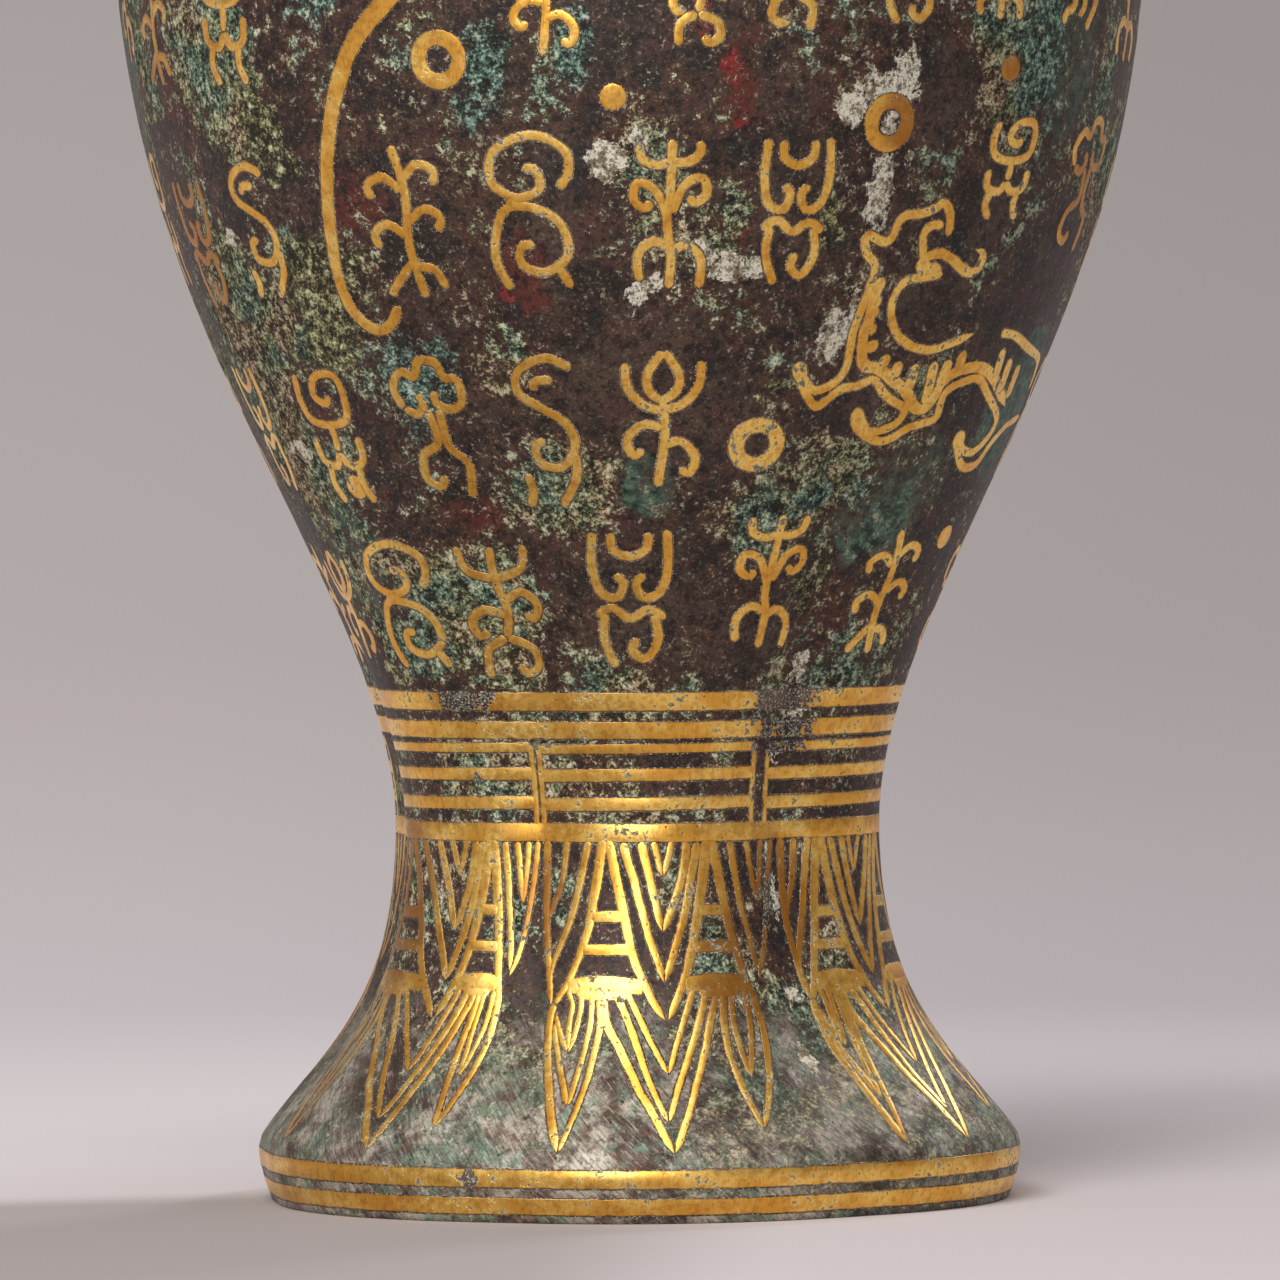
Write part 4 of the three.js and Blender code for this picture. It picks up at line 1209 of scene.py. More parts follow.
class End(Enum):
    """How a stroke of gold ends."""

    ROUND = "round"
    POINT = "point"
    SQUARE = "square"


@dataclass(frozen=True)
class Stroke:
    """One line of gold on a wall.

    Attributes:
        places: The (angle, height) places that its middle passes.
        width: How wide it is at its start.
        end_width: How wide it is at its end, if that differs.
        start: How it starts.
        end: How it ends.
        closed: Whether the end runs into the start.
        bent: Whether the line curves through its places, or is straight between them.
    """

    places: Sequence[Place]
    width: float
    end_width: float | None = None
    start: End = End.ROUND
    end: End = End.ROUND
    closed: bool = False
    bent: bool = True


@dataclass
class Graver:
    """Cuts strokes into a wall and fills them with gold.

    Attributes:
        wall: The wall that is worked.
        seam: How wide the dark seam round the gold is.
        deep: How deep the gold reaches.
        lift: How far the seam stands out of the skin.
        proud: How far the gold's shoulders stand out.
        crown: How far its middle stands out.
        step: How long one section of a stroke is.
        unsteady: How far the hand strays.
    """

    wall: LobedWall
    seam: float = 0.22
    deep: float = 0.3
    lift: float = 0.02
    proud: float = 0.06
    crown: float = 0.07
    step: float = 0.85
    unsteady: float = 0.1

    def lay(self, strokes: Iterable[Stroke]) -> bmesh.types.BMesh:
        """Lays strokes of gold.

        Args:
            strokes: The strokes.

        Returns:
            Their shapes, in metres.
        """
        shape = bmesh.new()
        edge = shape.verts.layers.float.new("edge")
        for stroke in strokes:
            self._fill(shape, edge, stroke)
        bmesh.ops.recalc_face_normals(shape, faces=shape.faces)
        for corner in shape.edges:
            if len(corner.link_faces) == 2 and corner.calc_face_angle() > 0.5:
                corner.smooth = False
        return shape

    def _fill(
        self, shape: bmesh.types.BMesh, edge: bmesh.types.BMLayerItem, stroke: Stroke
    ) -> None:
        """Bends one strip along a stroke and closes it into a shell.

        Args:
            shape: What the strip is added to.
            edge: Where a point keeps how far it lies inside the gold.
            stroke: The stroke.
        """
        runs, places = self._sections(stroke)
        total = runs[-1]
        columns = len(self._section(1.0, 1.2))
        strip = bmesh.ops.create_grid(
            shape, x_segments=columns - 1, y_segments=len(places) - 1, size=1.0
        )["verts"]
        for row, (run, place) in enumerate(zip(runs, places)):
            before = places[row - 1] if row else places[0]
            after = places[row + 1] if row + 1 < len(places) else places[-1]
            if stroke.closed:
                before = places[row - 1] if row else places[-2]
                after = places[row + 1] if row + 1 < len(places) else places[1]
            course = self.wall.walk(before, after).normalized()
            gold, cut = self._widths(stroke, run, total)
            for column, (aside, out, inside) in enumerate(self._section(gold, cut)):
                spot = self.wall.shifted(place, aside * course.y, -aside * course.x)
                vertex = strip[row * columns + column]
                vertex.co = self.wall.point(*spot, out)
                vertex[edge] = inside
        bmesh.ops.remove_doubles(shape, verts=strip, dist=1e-6)

    def _section(self, gold: float, cut: float) -> list[tuple[float, float, float]]:
        """Draws the section of a stroke.

        Args:
            gold: Half the width of the gold.
            cut: Half the width of the groove.

        Returns:
            (sideways, outward, inside the gold) of each point round the section, the
            last on the first.
        """
        round_off = min(0.14, gold * 0.5)
        full = min(1.0, gold / 0.25)
        shoulder = between(self.lift, self.proud, full)
        crown = between(self.lift, self.crown, full)
        half = [
            (cut, -self.deep, -self.seam),
            (cut, self.lift, gold - cut),
            (gold, self.lift, 0.0 if gold > 0.0 else -0.1),
            (gold - round_off, shoulder, round_off),
        ]
        mirrored = [(-aside, out, inside) for aside, out, inside in reversed(half)]
        return [*half, (0.0, crown, gold), *mirrored, half[0]]

    def _widths(self, stroke: Stroke, run: float, total: float) -> tuple[float, float]:
        """Works out how wide a stroke is along its length.

        Args:
            stroke: The stroke.
            run: How far along it the section stands.
            total: How long it is.

        Returns:
            Half the width of the gold, and of the groove.
        """
        last = stroke.width if stroke.end_width is None else stroke.end_width
        half = between(stroke.width, last, run / total) / 2.0
        sway = noise.noise(Vector((run * 0.35, stroke.places[0][0], stroke.places[0][1])))
        half *= 1.0 + 0.09 * sway
        if stroke.closed:
            return half, half + self.seam
        gold, cut = half, half + self.seam
        for left, end in ((run, stroke.start), (total - run, stroke.end)):
            gold = min(gold, self._taper(left - self.seam, half, end))
            cut = min(cut, self._taper(left, half + self.seam, end))
        return gold, cut

    def _taper(self, left: float, half: float, end: End) -> float:
        """Works out how wide a stroke is near one of its ends.

        Args:
            left: How far the section stands from that end.
            half: Half the stroke's full width.
            end: How the stroke ends there.

        Returns:
            Half the width.
        """
        if left <= 1e-6:
            return 0.0
        if end is End.POINT:
            return half * min(1.0, left / (half * 3.0)) ** 0.8
        if end is End.SQUARE:
            return half * min(1.0, (left / 0.12)) ** 0.5
        share = min(1.0, left / half)
        return half * math.sqrt(1.0 - (1.0 - share) ** 2)

    def _sections(self, stroke: Stroke) -> tuple[list[float], list[Place]]:
        """Spreads sections along a stroke, closer together at its ends.

        Args:
            stroke: The stroke.

        Returns:
            How far along each section stands, and its place.
        """
        course = self._course(stroke)
        runs = [0.0]
        for start, end in zip(course, course[1:]):
            runs.append(runs[-1] + self.wall.walk(start, end).length)
        total = runs[-1]
        marks = max(3, round(total / self.step))
        wanted = {total * index / marks for index in range(marks + 1)}
        if not stroke.closed:
            half = stroke.width / 2.0 + self.seam
            for share in (0.02, 0.08, 0.2, 0.4, 0.7, 1.0):
                if share * half * 2.0 < total:
                    wanted |= {share * half, total - share * half}
        order: list[float] = []
        for mark in sorted(wanted):
            if not order or mark - order[-1] > 0.015 or mark == total:
                order.append(mark)
        places: list[Place] = []
        index = 0
        for mark in order:
            while index < len(runs) - 2 and runs[index + 1] < mark:
                index += 1
            share = (mark - runs[index]) / max(1e-9, runs[index + 1] - runs[index])
            start, end = course[index], course[index + 1]
            places.append((between(start[0], end[0], share), between(start[1], end[1], share)))
        if stroke.closed:
            places[-1] = places[0]
        return order, places

    def _course(self, stroke: Stroke) -> list[Place]:
        """Draws the middle line of a stroke finely.

        Args:
            stroke: The stroke.

        Returns:
            Places along it.
        """
        spots = [Vector(place) for place in stroke.places]
        if not stroke.bent or len(spots) < 3:
            return [tuple(spot) for spot in spots]
        if stroke.closed:
            spots = [spots[-2], *spots, spots[1]]
        else:
            spots = [spots[0] * 2 - spots[1], *spots, spots[-1] * 2 - spots[-2]]
        course: list[Place] = []
        for before, start, end, after in zip(spots, spots[1:], spots[2:], spots[3:]):
            for index in range(COURSE_STEPS):
                share = index / COURSE_STEPS
                spot = 0.5 * (
                    2.0 * start
                    + (end - before) * share
                    + (2.0 * before - 5.0 * start + 4.0 * end - after) * share**2
                    + (3.0 * start - before - 3.0 * end + after) * share**3
                )
                stray = noise.noise(Vector((spot.x * 0.4, spot.y * 0.25, 0.0))) * self.unsteady
                course.append(self.wall.shifted(tuple(spot), stray, stray))
        course.append(course[0] if stroke.closed else tuple(spots[-2]))
        return course

    def gild(
        self, name: str, strokes: Iterable[Stroke], finish: bpy.types.Material, *nodes: str
    ) -> bpy.types.Object:
        """Lays strokes as one piece of gold that stands for the given solids."""
        return keep(self.lay(strokes), name, finish, nodes)


def ring_line(height: float, width: float) -> Stroke:
    """Draws a line right round the vase, with its middle at a height."""
    places = [(index * SPIN_STEP, height) for index in range(SPIN_STEPS + 1)]
    return Stroke(places, width, closed=True, bent=False)


def arc_line(start: float, end: float, height: float, width: float, rise: float = 0.0) -> Stroke:
    """Draws a level line over part of the vase.

    Args:
        start: The angle at its left end.
        end: The angle at its right end.
        height: The height of its middle.
        width: How wide it is.
        rise: How much higher its right end is.

    Returns:
        The stroke.
    """
    steps = max(2, round((end - start) / SPIN_STEP))
    places = [
        (between(start, end, index / steps), height + rise * (index / steps))
        for index in range(steps + 1)
    ]
    return Stroke(places, width, start=End.SQUARE, end=End.SQUARE, bent=False)


def spike(width: float, end_width: float, *places: Place) -> Stroke:
    """Draws a line that ends in a point."""
    return Stroke(places, width, end_width, end=End.POINT)


def rung(width: float, *places: Place) -> Stroke:
    """Draws a line with square ends."""
    return Stroke(places, width, start=End.SQUARE, end=End.SQUARE)


@dataclass
class Bands:
    """The level lines of the foot, the waist and the neck.

    Attributes:
        foot: (bottom, top) of the two lines round the foot.
        waist: (bottom, top) of the two whole lines round the waist.
        collar: (bottom, top) of the line that the leaves hang from.
        rungs: (bottom, top) of the lines between the collar and the waist lines.
        collar_reach: How far the collar runs to each side of a lobe's middle, in degrees.
        first_rung: The angles on a lobe between which its rungs run.
        ends: The angles on the vase between which they run where that differs.
        climb: How much higher the right end of a rung is.
        post: How wide the uprights at the ends of the rungs are.
        neck: (bottom, top) of the line round the neck's foot.
        lip: (bottom, top) of the line round the lip.
    """

    foot: tuple[Place, Place] = ((1.5, 5.0), (6.9, 10.6))
    waist: tuple[Place, Place] = ((93.2, 96.8), (98.7, 102.6))
    collar: Place = (73.0, 76.7)
    rungs: tuple[Place, ...] = ((79.0, 81.6), (84.7, 87.3), (90.2, 92.2))
    collar_reach: float = 30.6
    first_rung: Place = (-30.0, 21.0)
    ends: dict[int, Place] = field(
        default_factory=lambda: {0: (-30.0, 21.2), 1: (25.4, 86.0), 5: (-84.0, -31.8)}
    )
    climb: float = 0.4
    post: float = 1.3
    neck: Place = (329.3, 332.5)
    lip: Place = (383.1, 385.5)

    def _ladder(self, lobe: int) -> list[Stroke]:
        """Draws the collar, rungs and uprights of one lobe.

        Args:
            lobe: Which lobe, from 0 at the front.

        Returns:
            The strokes.
        """
        turn = lobe * LOBE_TURN
        start, end = self.first_rung[0] + turn, self.first_rung[1] + turn
        start, end = self.ends.get(lobe, (start, end))
        low, high = self.collar
        left, right = turn - self.collar_reach, turn + self.collar_reach
        strokes = [arc_line(left, right, (low + high) / 2.0, high - low)]
        for bottom, top in self.rungs:
            strokes.append(arc_line(start, end, (bottom + top) / 2.0, top - bottom, self.climb))
        for angle in (start, end):
            strokes.append(rung(self.post, (angle, high - 0.5), (angle - 0.3, self.rungs[-1][1])))
        return strokes

    def _round(self, graver: Graver, name: str, span: Place, finish: bpy.types.Material) -> None:
        """Lays one line right round the vase, over its (bottom, top)."""
        low, high = span
        graver.gild(f"gilt_{name}", [ring_line((low + high) / 2, high - low)], finish, name)

    def dress(self, body: Graver, neck: Graver, finish: bpy.types.Material) -> None:
        """Lays the lines.

        Args:
            body: The graver on the body.
            neck: The graver on the neck.
            finish: The gold.
        """
        for where, spans in (("foot", self.foot), ("waist", self.waist)):
            for side, span in zip(("lower", "upper"), spans):
                self._round(body, f"{where}_band_{side}", span, finish)
        for lobe in range(LOBES):
            name = f"ladder_panel_{lobe + 1}"
            body.gild(f"gilt_ladder_{lobe + 1}", self._ladder(lobe), finish, name)
        self._round(neck, "neck_band", self.neck, finish)
        self._round(neck, "lip_band", self.lip, finish)


@dataclass
class LeafPanels:
    """The frames and hanging blades below the collar, two frames on each lobe.

    Attributes:
        leg: How wide the legs of a frame are.
        bar: How wide its bars are.
        base: How wide its lowest bar is.
        vee: How wide the nested points between frames are.
        blade: How wide the outlines of the blades are.
        warps: For each lobe, the angles on the lobe of the marks in `marks`.
        marks: The left edge, left frame, middle, right frame and right edge as drawn.
    """

    leg: float = 2.3
    bar: float = 2.3
    base: float = 3.5
    vee: float = 1.95
    blade: float = 1.7
    marks: tuple[float, ...] = (-30, -14.7, -1.5, 10.3, 30)
    warps: tuple[tuple[float, ...], ...] = (
        (-30, -14.7, -1.5, 10.3, 30),
        (-30, -19.3, -8, 4.5, 30),
        (-30, -15.5, 0.5, 13, 30),
        (-30, -13, 1, 14.5, 30),
        (-30, -16, -1, 13.5, 30),
        (-30, -10.7, 8.6, 17.5, 30),
    )

    def _warped(self, lobe: int, places: Sequence[Place]) -> list[Place]:
        """Moves places drawn for the front lobe to where another lobe has them.

        Args:
            lobe: Which lobe, from 0 at the front.
            places: The places as drawn.

        Returns:
            The places on the vase.
        """
        warp = self.warps[lobe]
        moved = []
        for angle, height in places:
            for index in range(len(self.marks) - 1):
                low, high = self.marks[index], self.marks[index + 1]
                if angle <= high or index == len(self.marks) - 2:
                    break
            share = (angle - low) / (high - low)
            moved.append((between(warp[index], warp[index + 1], share) + lobe * LOBE_TURN, height))
        return moved

    def _drawn(self) -> list[Stroke]:
        """Draws the panel of the front lobe.

        Returns:
            The strokes, with places from the middle of the lobe.
        """
        leg, bar, base, vee = self.leg, self.bar, self.base, self.vee
        frames = [
            Stroke(
                [
                    (-14.7, 73.6), (-16.7, 63.3), (-18.1, 56.1), (-19.6, 52.1), (-21.2, 48.1),
                    (-22.5, 45.4), (-24.9, 41.6),
                ],
                leg,
                1.5,
            ),
            spike(
                leg, 1.6, (-13.6, 73.6), (-11.1, 63.4), (-9.3, 56.2), (-7.9, 50.5), (-6.1, 46.5),
                (-4.1, 42.6), (-1.6, 38.4),
            ),
            rung(bar, (-17.5, 58.5), (-9.9, 58.6)),
            rung(bar, (-19.4, 52.1), (-8.5, 52.2)),
            rung(base, (-22.6, 45), (-14, 45.6), (-5.6, 45)),
            Stroke([(-20.4, 43.6), (-14.4, 43.4), (-8.6, 43.6)], 2.2),
            spike(
                leg, 1.6, (9.3, 73.6), (7.5, 63.3), (5.4, 54.4), (3.5, 48.2), (1.3, 43.4),
                (-1.2, 38.4),
            ),
            Stroke([(10.2, 73.5), (12.5, 63.2), (14.4, 54.3), (16.2, 47.1), (18, 41.8)], leg, 1.5),
            rung(bar, (6.7, 59.7), (13.3, 59.6)),
            rung(bar, (4.9, 52.6), (14.8, 52.5)),
            rung(base, (2.4, 45.3), (10, 45.8), (17, 45.2)),
            Stroke([(5.4, 43.8), (10.3, 43.6), (14.6, 43.8)], 2.2),
        ]
        points = [
            spike(
                1.8, 1.3, (-18.3, 73.4), (-20.5, 64.6), (-22.2, 58.7), (-24.6, 53.3), (-26.5, 48.8),
                (-26.9, 45.3),
            ),
            spike(1.6, 1.1, (-23.9, 73.4), (-24.5, 67.7), (-25.8, 63.1), (-27.6, 60), (-28.6, 57)),
            spike(1.9, 1.4, (-29.2, 73.4), (-29, 59.5), (-27.5, 49.7), (-25.6, 41.2)),
            spike(vee, 1.5, (-10.2, 73.2), (-7.2, 63.9), (-4.5, 54.9), (-2.5, 49.2), (-1.4, 45.6)),
            spike(vee, 1.5, (7, 73.2), (5.3, 66.5), (3.5, 58.9), (1, 52.2), (-1.4, 45.6)),
            spike(vee, 1.5, (-6.1, 73.3), (-3.9, 65.2), (-1.5, 55.2)),
            spike(vee, 1.5, (4.5, 73.2), (3.4, 67), (1.4, 61.6), (-1.5, 55.2)),
            spike(1.5, 1.3, (-3.2, 73.4), (-1.2, 65.8)),
            spike(1.5, 1.3, (1.1, 73.4), (-1.2, 65.8)),
            spike(1.7, 1.2, (15, 73.2), (17, 61.8), (19.1, 53.2), (19.9, 47.6)),
            spike(1.6, 1.1, (19.5, 73.2), (21, 66.2), (22.3, 60.6)),
            spike(1.4, 1.1, (24, 73.3), (23.2, 66), (22.4, 60.6)),
            spike(1.4, 1.1, (27.6, 73.3), (25.4, 62), (22.8, 52), (19.9, 46.6)),
        ]
        return [*frames, *points, *self._blades()]

    def _blades(self) -> list[Stroke]:
        """Draws the hanging blades of the front lobe.

        Returns:
            The strokes, with places from the middle of the lobe.
        """
        line = self.blade
        left = [
            spike(
                line, 2, (-24.9, 41.8), (-25.4, 38.3), (-24.5, 32.3), (-22.5, 25.1), (-20.8, 19.2),
                (-19.3, 13.9),
            ),
            spike(
                line, 1.2, (-14.8, 43), (-14.5, 37.7), (-15.1, 33.3), (-15.9, 28.2), (-17.2, 22.2),
                (-19.2, 13.9),
            ),
            spike(
                1.3, 1.6, (-24.3, 38), (-23.3, 34.8), (-22.1, 31.5), (-20.5, 27.2), (-18.9, 22.4),
            ),
            spike(
                1.3, 1.4, (-16.6, 44.2), (-16.4, 39.8), (-16.7, 35.9), (-17.6, 30.3), (-18.9, 22.4),
            ),
            spike(1.2, 1.5, (-24.2, 39.8), (-22.6, 36.2), (-20.4, 32.4)),
            spike(1.2, 1.5, (-22.2, 44.5), (-20.8, 41.4), (-20.9, 37.6), (-20.5, 32.6)),
            spike(1.4, 1.3, (-19.2, 45), (-18.8, 41.6), (-19.2, 37.4), (-20.4, 32.4)),
        ]
        centre = [
            spike(
                1.9, 1.7, (-14.1, 43.1), (-13.5, 38.6), (-11.5, 35.1), (-9, 30.4), (-7, 25.7),
                (-5.2, 22.3), (-1.8, 13.7),
            ),
            spike(
                line, 1.5, (9.4, 43.4), (7.2, 38.5), (5.5, 33.4), (3.2, 27.4), (0.7, 20.6),
                (-1.7, 13.7),
            ),
            spike(
                line, 1.3, (-11.8, 44.6), (-9.2, 39.1), (-7, 33), (-5.3, 27.4), (-3.9, 23.6),
                (-2.3, 19.4),
            ),
            spike(
                line, 1.3, (7.1, 43.8), (5.2, 39), (2.4, 32.5), (0.4, 27.8), (-1.1, 23.6),
                (-2.3, 19.4),
            ),
            spike(1.4, 1.2, (-9.4, 44.6), (-6.9, 39.5), (-5, 35.2), (-3.9, 33), (-1.8, 28.3)),
            spike(1.4, 1.2, (4.4, 44.4), (1.9, 38.6), (-0.3, 33), (-1.8, 28.3)),
        ]
        right = [
            spike(line, 1.3, (10.6, 43.4), (9.8, 34.6), (10.4, 28.1), (12.6, 18)),
            spike(line, 1.3, (17.6, 43), (18.2, 36), (16.6, 28), (12.7, 18)),
            spike(1.3, 1.2, (12.6, 44.4), (12, 37), (12.9, 27.6)),
            spike(1.3, 1.2, (15.8, 44.2), (15.5, 37), (13, 27.6)),
        ]
        return [*left, *centre, *right]

    def dress(self, graver: Graver, finish: bpy.types.Material) -> None:
        """Lays the panels.

        Args:
            graver: The graver on the body.
            finish: The gold.
        """
        for lobe in range(LOBES):
            strokes = [
                replace(stroke, places=self._warped(lobe, stroke.places))
                for stroke in self._drawn()
            ]
            graver.gild(f"gilt_leaves_{lobe + 1}", strokes, finish, f"leaf_panel_{lobe + 1}")


@dataclass
class NeckLeaves:
    """The six upright leaves on the neck.

    Attributes:
        foot: The height that they stand on.
        tall: How tall a leaf is.
        wide: How wide its foot is.
        line: How wide its outlines are.
    """

    foot: float = 334.1
    tall: float = 24.0
    wide: float = 14.0
    line: float = 1.2

    def _leaf(self, angle: float, share: float) -> list[Stroke]:
        """Draws one outline of a leaf.

        Args:
            angle: The angle of its middle.
            share: Its size, with 1 for the outermost.

        Returns:
            The two sides and the foot.
        """
        tip = NECK_WALL.shifted((angle, self.foot), 0.0, self.tall * (0.25 + 0.75 * share))
        strokes = []
        for side in (-1.0, 1.0):
            half = side * self.wide * share / 2.0
            low = NECK_WALL.shifted((angle, self.foot), half, 0.0)
            belly = NECK_WALL.shifted((angle, self.foot), half * 0.86, self.tall * 0.4 * share)
            strokes.append(Stroke([low, belly, tip], self.line, end=End.POINT))
        return strokes

    def dress(self, graver: Graver, finish: bpy.types.Material) -> None:
        """Lays the leaves.

        Args:
            graver: The graver on the neck.
            finish: The gold.
        """
        for leaf in range(LOBES):
            angle = leaf * LOBE_TURN
            strokes = [*self._leaf(angle, 0.9), *self._leaf(angle, 0.58)]
            rib = [(angle, self.foot + 0.4), (angle, self.foot + 7.0)]
            strokes.append(Stroke(rib, self.line, 0.8))
            graver.gild(f"gilt_neck_leaf_{leaf + 1}", strokes, finish, f"neck_leaf_{leaf + 1}")


@dataclass
class Roundels:
    """The rings and dots that are strewn over the belly.

    Attributes:
        rings: The places of the rings.
        dots: The places of the dots.
        ring_radius: The radius of a ring's middle line.
        ring_width: How wide a ring's line is.
        dot_width: How wide a dot is.
    """

    rings: tuple[Place, ...] = (
        (-28.6, 225.6), (23.7, 212.9), (11.3, 150.9), (94, 218), (148, 163), (243, 171),
    )
    dots: tuple[Place, ...] = (
        (-8.9, 218), (40.6, 223.5), (57.5, 132), (118, 201), (262, 214), (305, 143),
    )
    ring_radius: float = 4.25
    ring_width: float = 3.3
    dot_width: float = 5.2

    def _circle(self, place: Place, radius: float) -> list[Place]:
        """Draws a circle on the body.

        Args:
            place: Its middle.
            radius: Its radius.

        Returns:
            Places round it, the last on the first.
        """
        steps = 36
        turns = [math.tau * index / steps for index in range(steps + 1)]
        return [
            BODY_WALL.shifted(place, radius * math.sin(turn), radius * math.cos(turn))
            for turn in turns
        ]

    def dress(self, graver: Graver, finish: bpy.types.Material) -> None:
        """Lays the rings and dots.

        Args:
            graver: The graver on the body.
            finish: The gold.
        """
        for index, place in enumerate(self.rings, 1):
            ring = Stroke(self._circle(place, self.ring_radius), self.ring_width, closed=True)
            graver.gild(f"gilt_ring_{index}", [ring], finish, f"ring_{index}")
        for index, place in enumerate(self.dots, 1):
            half = self.dot_width / 2.0 + graver.seam
            ends = [BODY_WALL.shifted(place, 0.0, side * half) for side in (-1.0, -0.3, 0.3, 1.0)]
            graver.gild(
                f"gilt_dot_{index}", [Stroke(ends, self.dot_width)], finish, f"dot_{index}"
            )


@dataclass
class Figures:
    """The long hook and the striped beast on the belly.

    Attributes:
        hook: The places of the hook's line, from its top.
        beast_middle: The place that the beast is drawn round.
        line: How wide the beast's outlines are.
        stripe: How wide its stripes are.
        claw: How wide its claws and its tongue's root are.
    """

    hook: tuple[Place, ...] = (
        (-27.5, 249.5), (-29.8, 246), (-32.3, 241.1), (-34.6, 236.8), (-37.4, 232), (-39.4, 227.7),
        (-41, 222.4), (-42.4, 217.1), (-43.7, 210.5), (-44.7, 203.9), (-45.5, 197.3), (-46, 191.1),
        (-46.3, 184.9), (-45.9, 179.5), (-44.3, 175.5), (-42.2, 173.7), (-40.1, 174.6),
        (-38.8, 176.9), (-38.3, 178.6),
    )
    beast_middle: Place = (32, 178)
    line: float = 2.05
    stripe: float = 2.7
    claw: float = 3.6

    def _drawn(self, width: float, *points: Place, end: End = End.ROUND) -> Stroke:
        """Draws a line of the beast, (across, along) from its middle."""
        places = [BODY_WALL.shifted(self.beast_middle, *point) for point in points]
        return Stroke(places, width, end=end)

    def _back(self) -> list[Stroke]:
        """Draws the head, the tongue, the back and the rump.

        Returns:
            The strokes.
        """
        line, tip = self.line, End.POINT
        return [
            self._drawn(
                line, (-15, 14.5), (-13.1, 14.1), (-10.3, 12.8), (-8.4, 13.8), (-7.7, 16.4),
                (-6.3, 18.2), (-2.1, 18.8), (0.7, 19.9), (2.2, 20.9), (3.9, 19.2), (4.8, 16.5),
                (4.5, 13.8),
            ),
            self._drawn(line, (3.4, 16.3), (0.4, 16.2), (-1.1, 14.4), (-0.6, 11.4), (0.6, 7.4)),
            self._drawn(self.claw, (-0.4, 9.8), (1.2, 7), (5.2, 6.9)),
            self._drawn(
                2.3, (-0.2, 9.6), (3.9, 10.4), (7, 9.2), (11.1, 6.9), (13.8, 6.4), (15.3, 8.5),
                (14.9, 10.6), (12.4, 11.2), end=tip,
            ),
            self._drawn(
                line, (5.8, 6.1), (0.3, 5.4), (-3.1, 4.6), (-4.8, 2.3), (-5.1, -0.8), (-3.9, -4.3),
                (-1.1, -7), (2.9, -8.9), (7.6, -9.7), (12.9, -8.5), (19.6, -6.2), end=tip,
            ),
            self._drawn(
                line, (28.5, -6.2), (35, -7), (44, -9.7), (53.3, -11.7), (55.8, -14.5),
                (57.3, -18.4),
            ),
        ]

    def _chest(self) -> list[Stroke]:
        """Draws the chest and the raised foreleg.

        Returns:
            The strokes.
        """
        return [
            self._drawn(
                self.line, (-15, 14.5), (-13.7, 10.7), (-11.3, 8), (-11.5, 3.8), (-12.5, -1.2),
                (-13.3, -5.4), (-13.2, -9.6), (-13.1, -13.1), (-15.1, -16.2), (-19.3, -17.9),
                (-21.8, -16.7), (-24.7, -13.1),
            ),
            self._drawn(3.4, (-25, -11.8), (-23.4, -16)),
            self._drawn(self.claw, (-7.9, -21.6), (-5.6, -25.2), (-2.4, -26.9)),
            self._drawn(
                self.line, (-24.6, -13.9), (-22.5, -17.7), (-18.9, -21.2), (-16.1, -19.7),
                (-13.3, -17.7), (-9.1, -17), (-5, -15.8), (-1.5, -18.5), (2.3, -20.5), (6, -22.1),
                (5.1, -24.8), (1.6, -26.3), (-1.9, -26.7), (-5.9, -24.7), (-8.1, -23),
            ),
        ]

    def _belly(self) -> list[Stroke]:
        """Draws the striped flank, the belly and the hind leg.

        Returns:
            The strokes.
        """
        flank = [
            (-8.6, 5.7), (-9.9, 2.6), (-10, -0.4), (-10.1, -3.9), (-10.7, -6.2), (-10.1, -9.6),
            (-8.7, -12.7), (-4.2, -13.7), (-0.6, -15.5), (4.4, -18.2), (8.5, -21.7), (11.9, -21.9),
            (13.4, -19.4), (14.4, -16.7), (17.8, -14.3), (23.4, -13.4), (28.8, -14.4), (35, -17.5),
            (43, -21.9),
        ]
        stripes = [
            [(-10, 1.5), (-8.4, -0.6)], [(-10.1, -1.8), (-7.8, -1.6)], [(-10.1, -5.4), (-7.5, -5)],
            [(-9.8, -9.3), (-6, -8.3)], [(-4.2, -13.7), (-2.7, -10.4)],
            [(0.3, -15.8), (0.6, -11.8)], [(5.1, -18.6), (5.3, -12.4)],
            [(11.3, -21.3), (10.2, -12)], [(13.6, -17.4), (14.5, -11.6)],
            [(17.8, -14.3), (18.1, -9.7)], [(32.5, -16), (31.8, -9.3)],
            [(36.9, -18.3), (36.3, -11.5)], [(41.8, -20.3), (41.6, -12.8)],
        ]
        return [
            self._drawn(self.stripe, *flank, end=End.POINT),
            *[self._drawn(self.stripe, *stripe) for stripe in stripes],
            self._drawn(
                self.line, (-7.9, -23.5), (-4.5, -26.7), (0.5, -28.6), (4.5, -28.3), (8.8, -26),
                (15.9, -24.2), (16.1, -21.3), (16.5, -18.6), (20.3, -16.7), (26.3, -15.9),
                (32.4, -19.5), (40.7, -24.2), (40.3, -28.1), (35.6, -31.2), (30.2, -30.8),
                (25.6, -27.6),
            ),
            self._drawn(self.claw, (25.8, -26.8), (28.6, -30.6)),
            self._drawn(
                self.line, (25.2, -28), (30.5, -33.1), (35.3, -34.7), (40.1, -33.6), (43.9, -29.3),
                (49.7, -25.8), (60.3, -24), end=End.POINT,
            ),
        ]

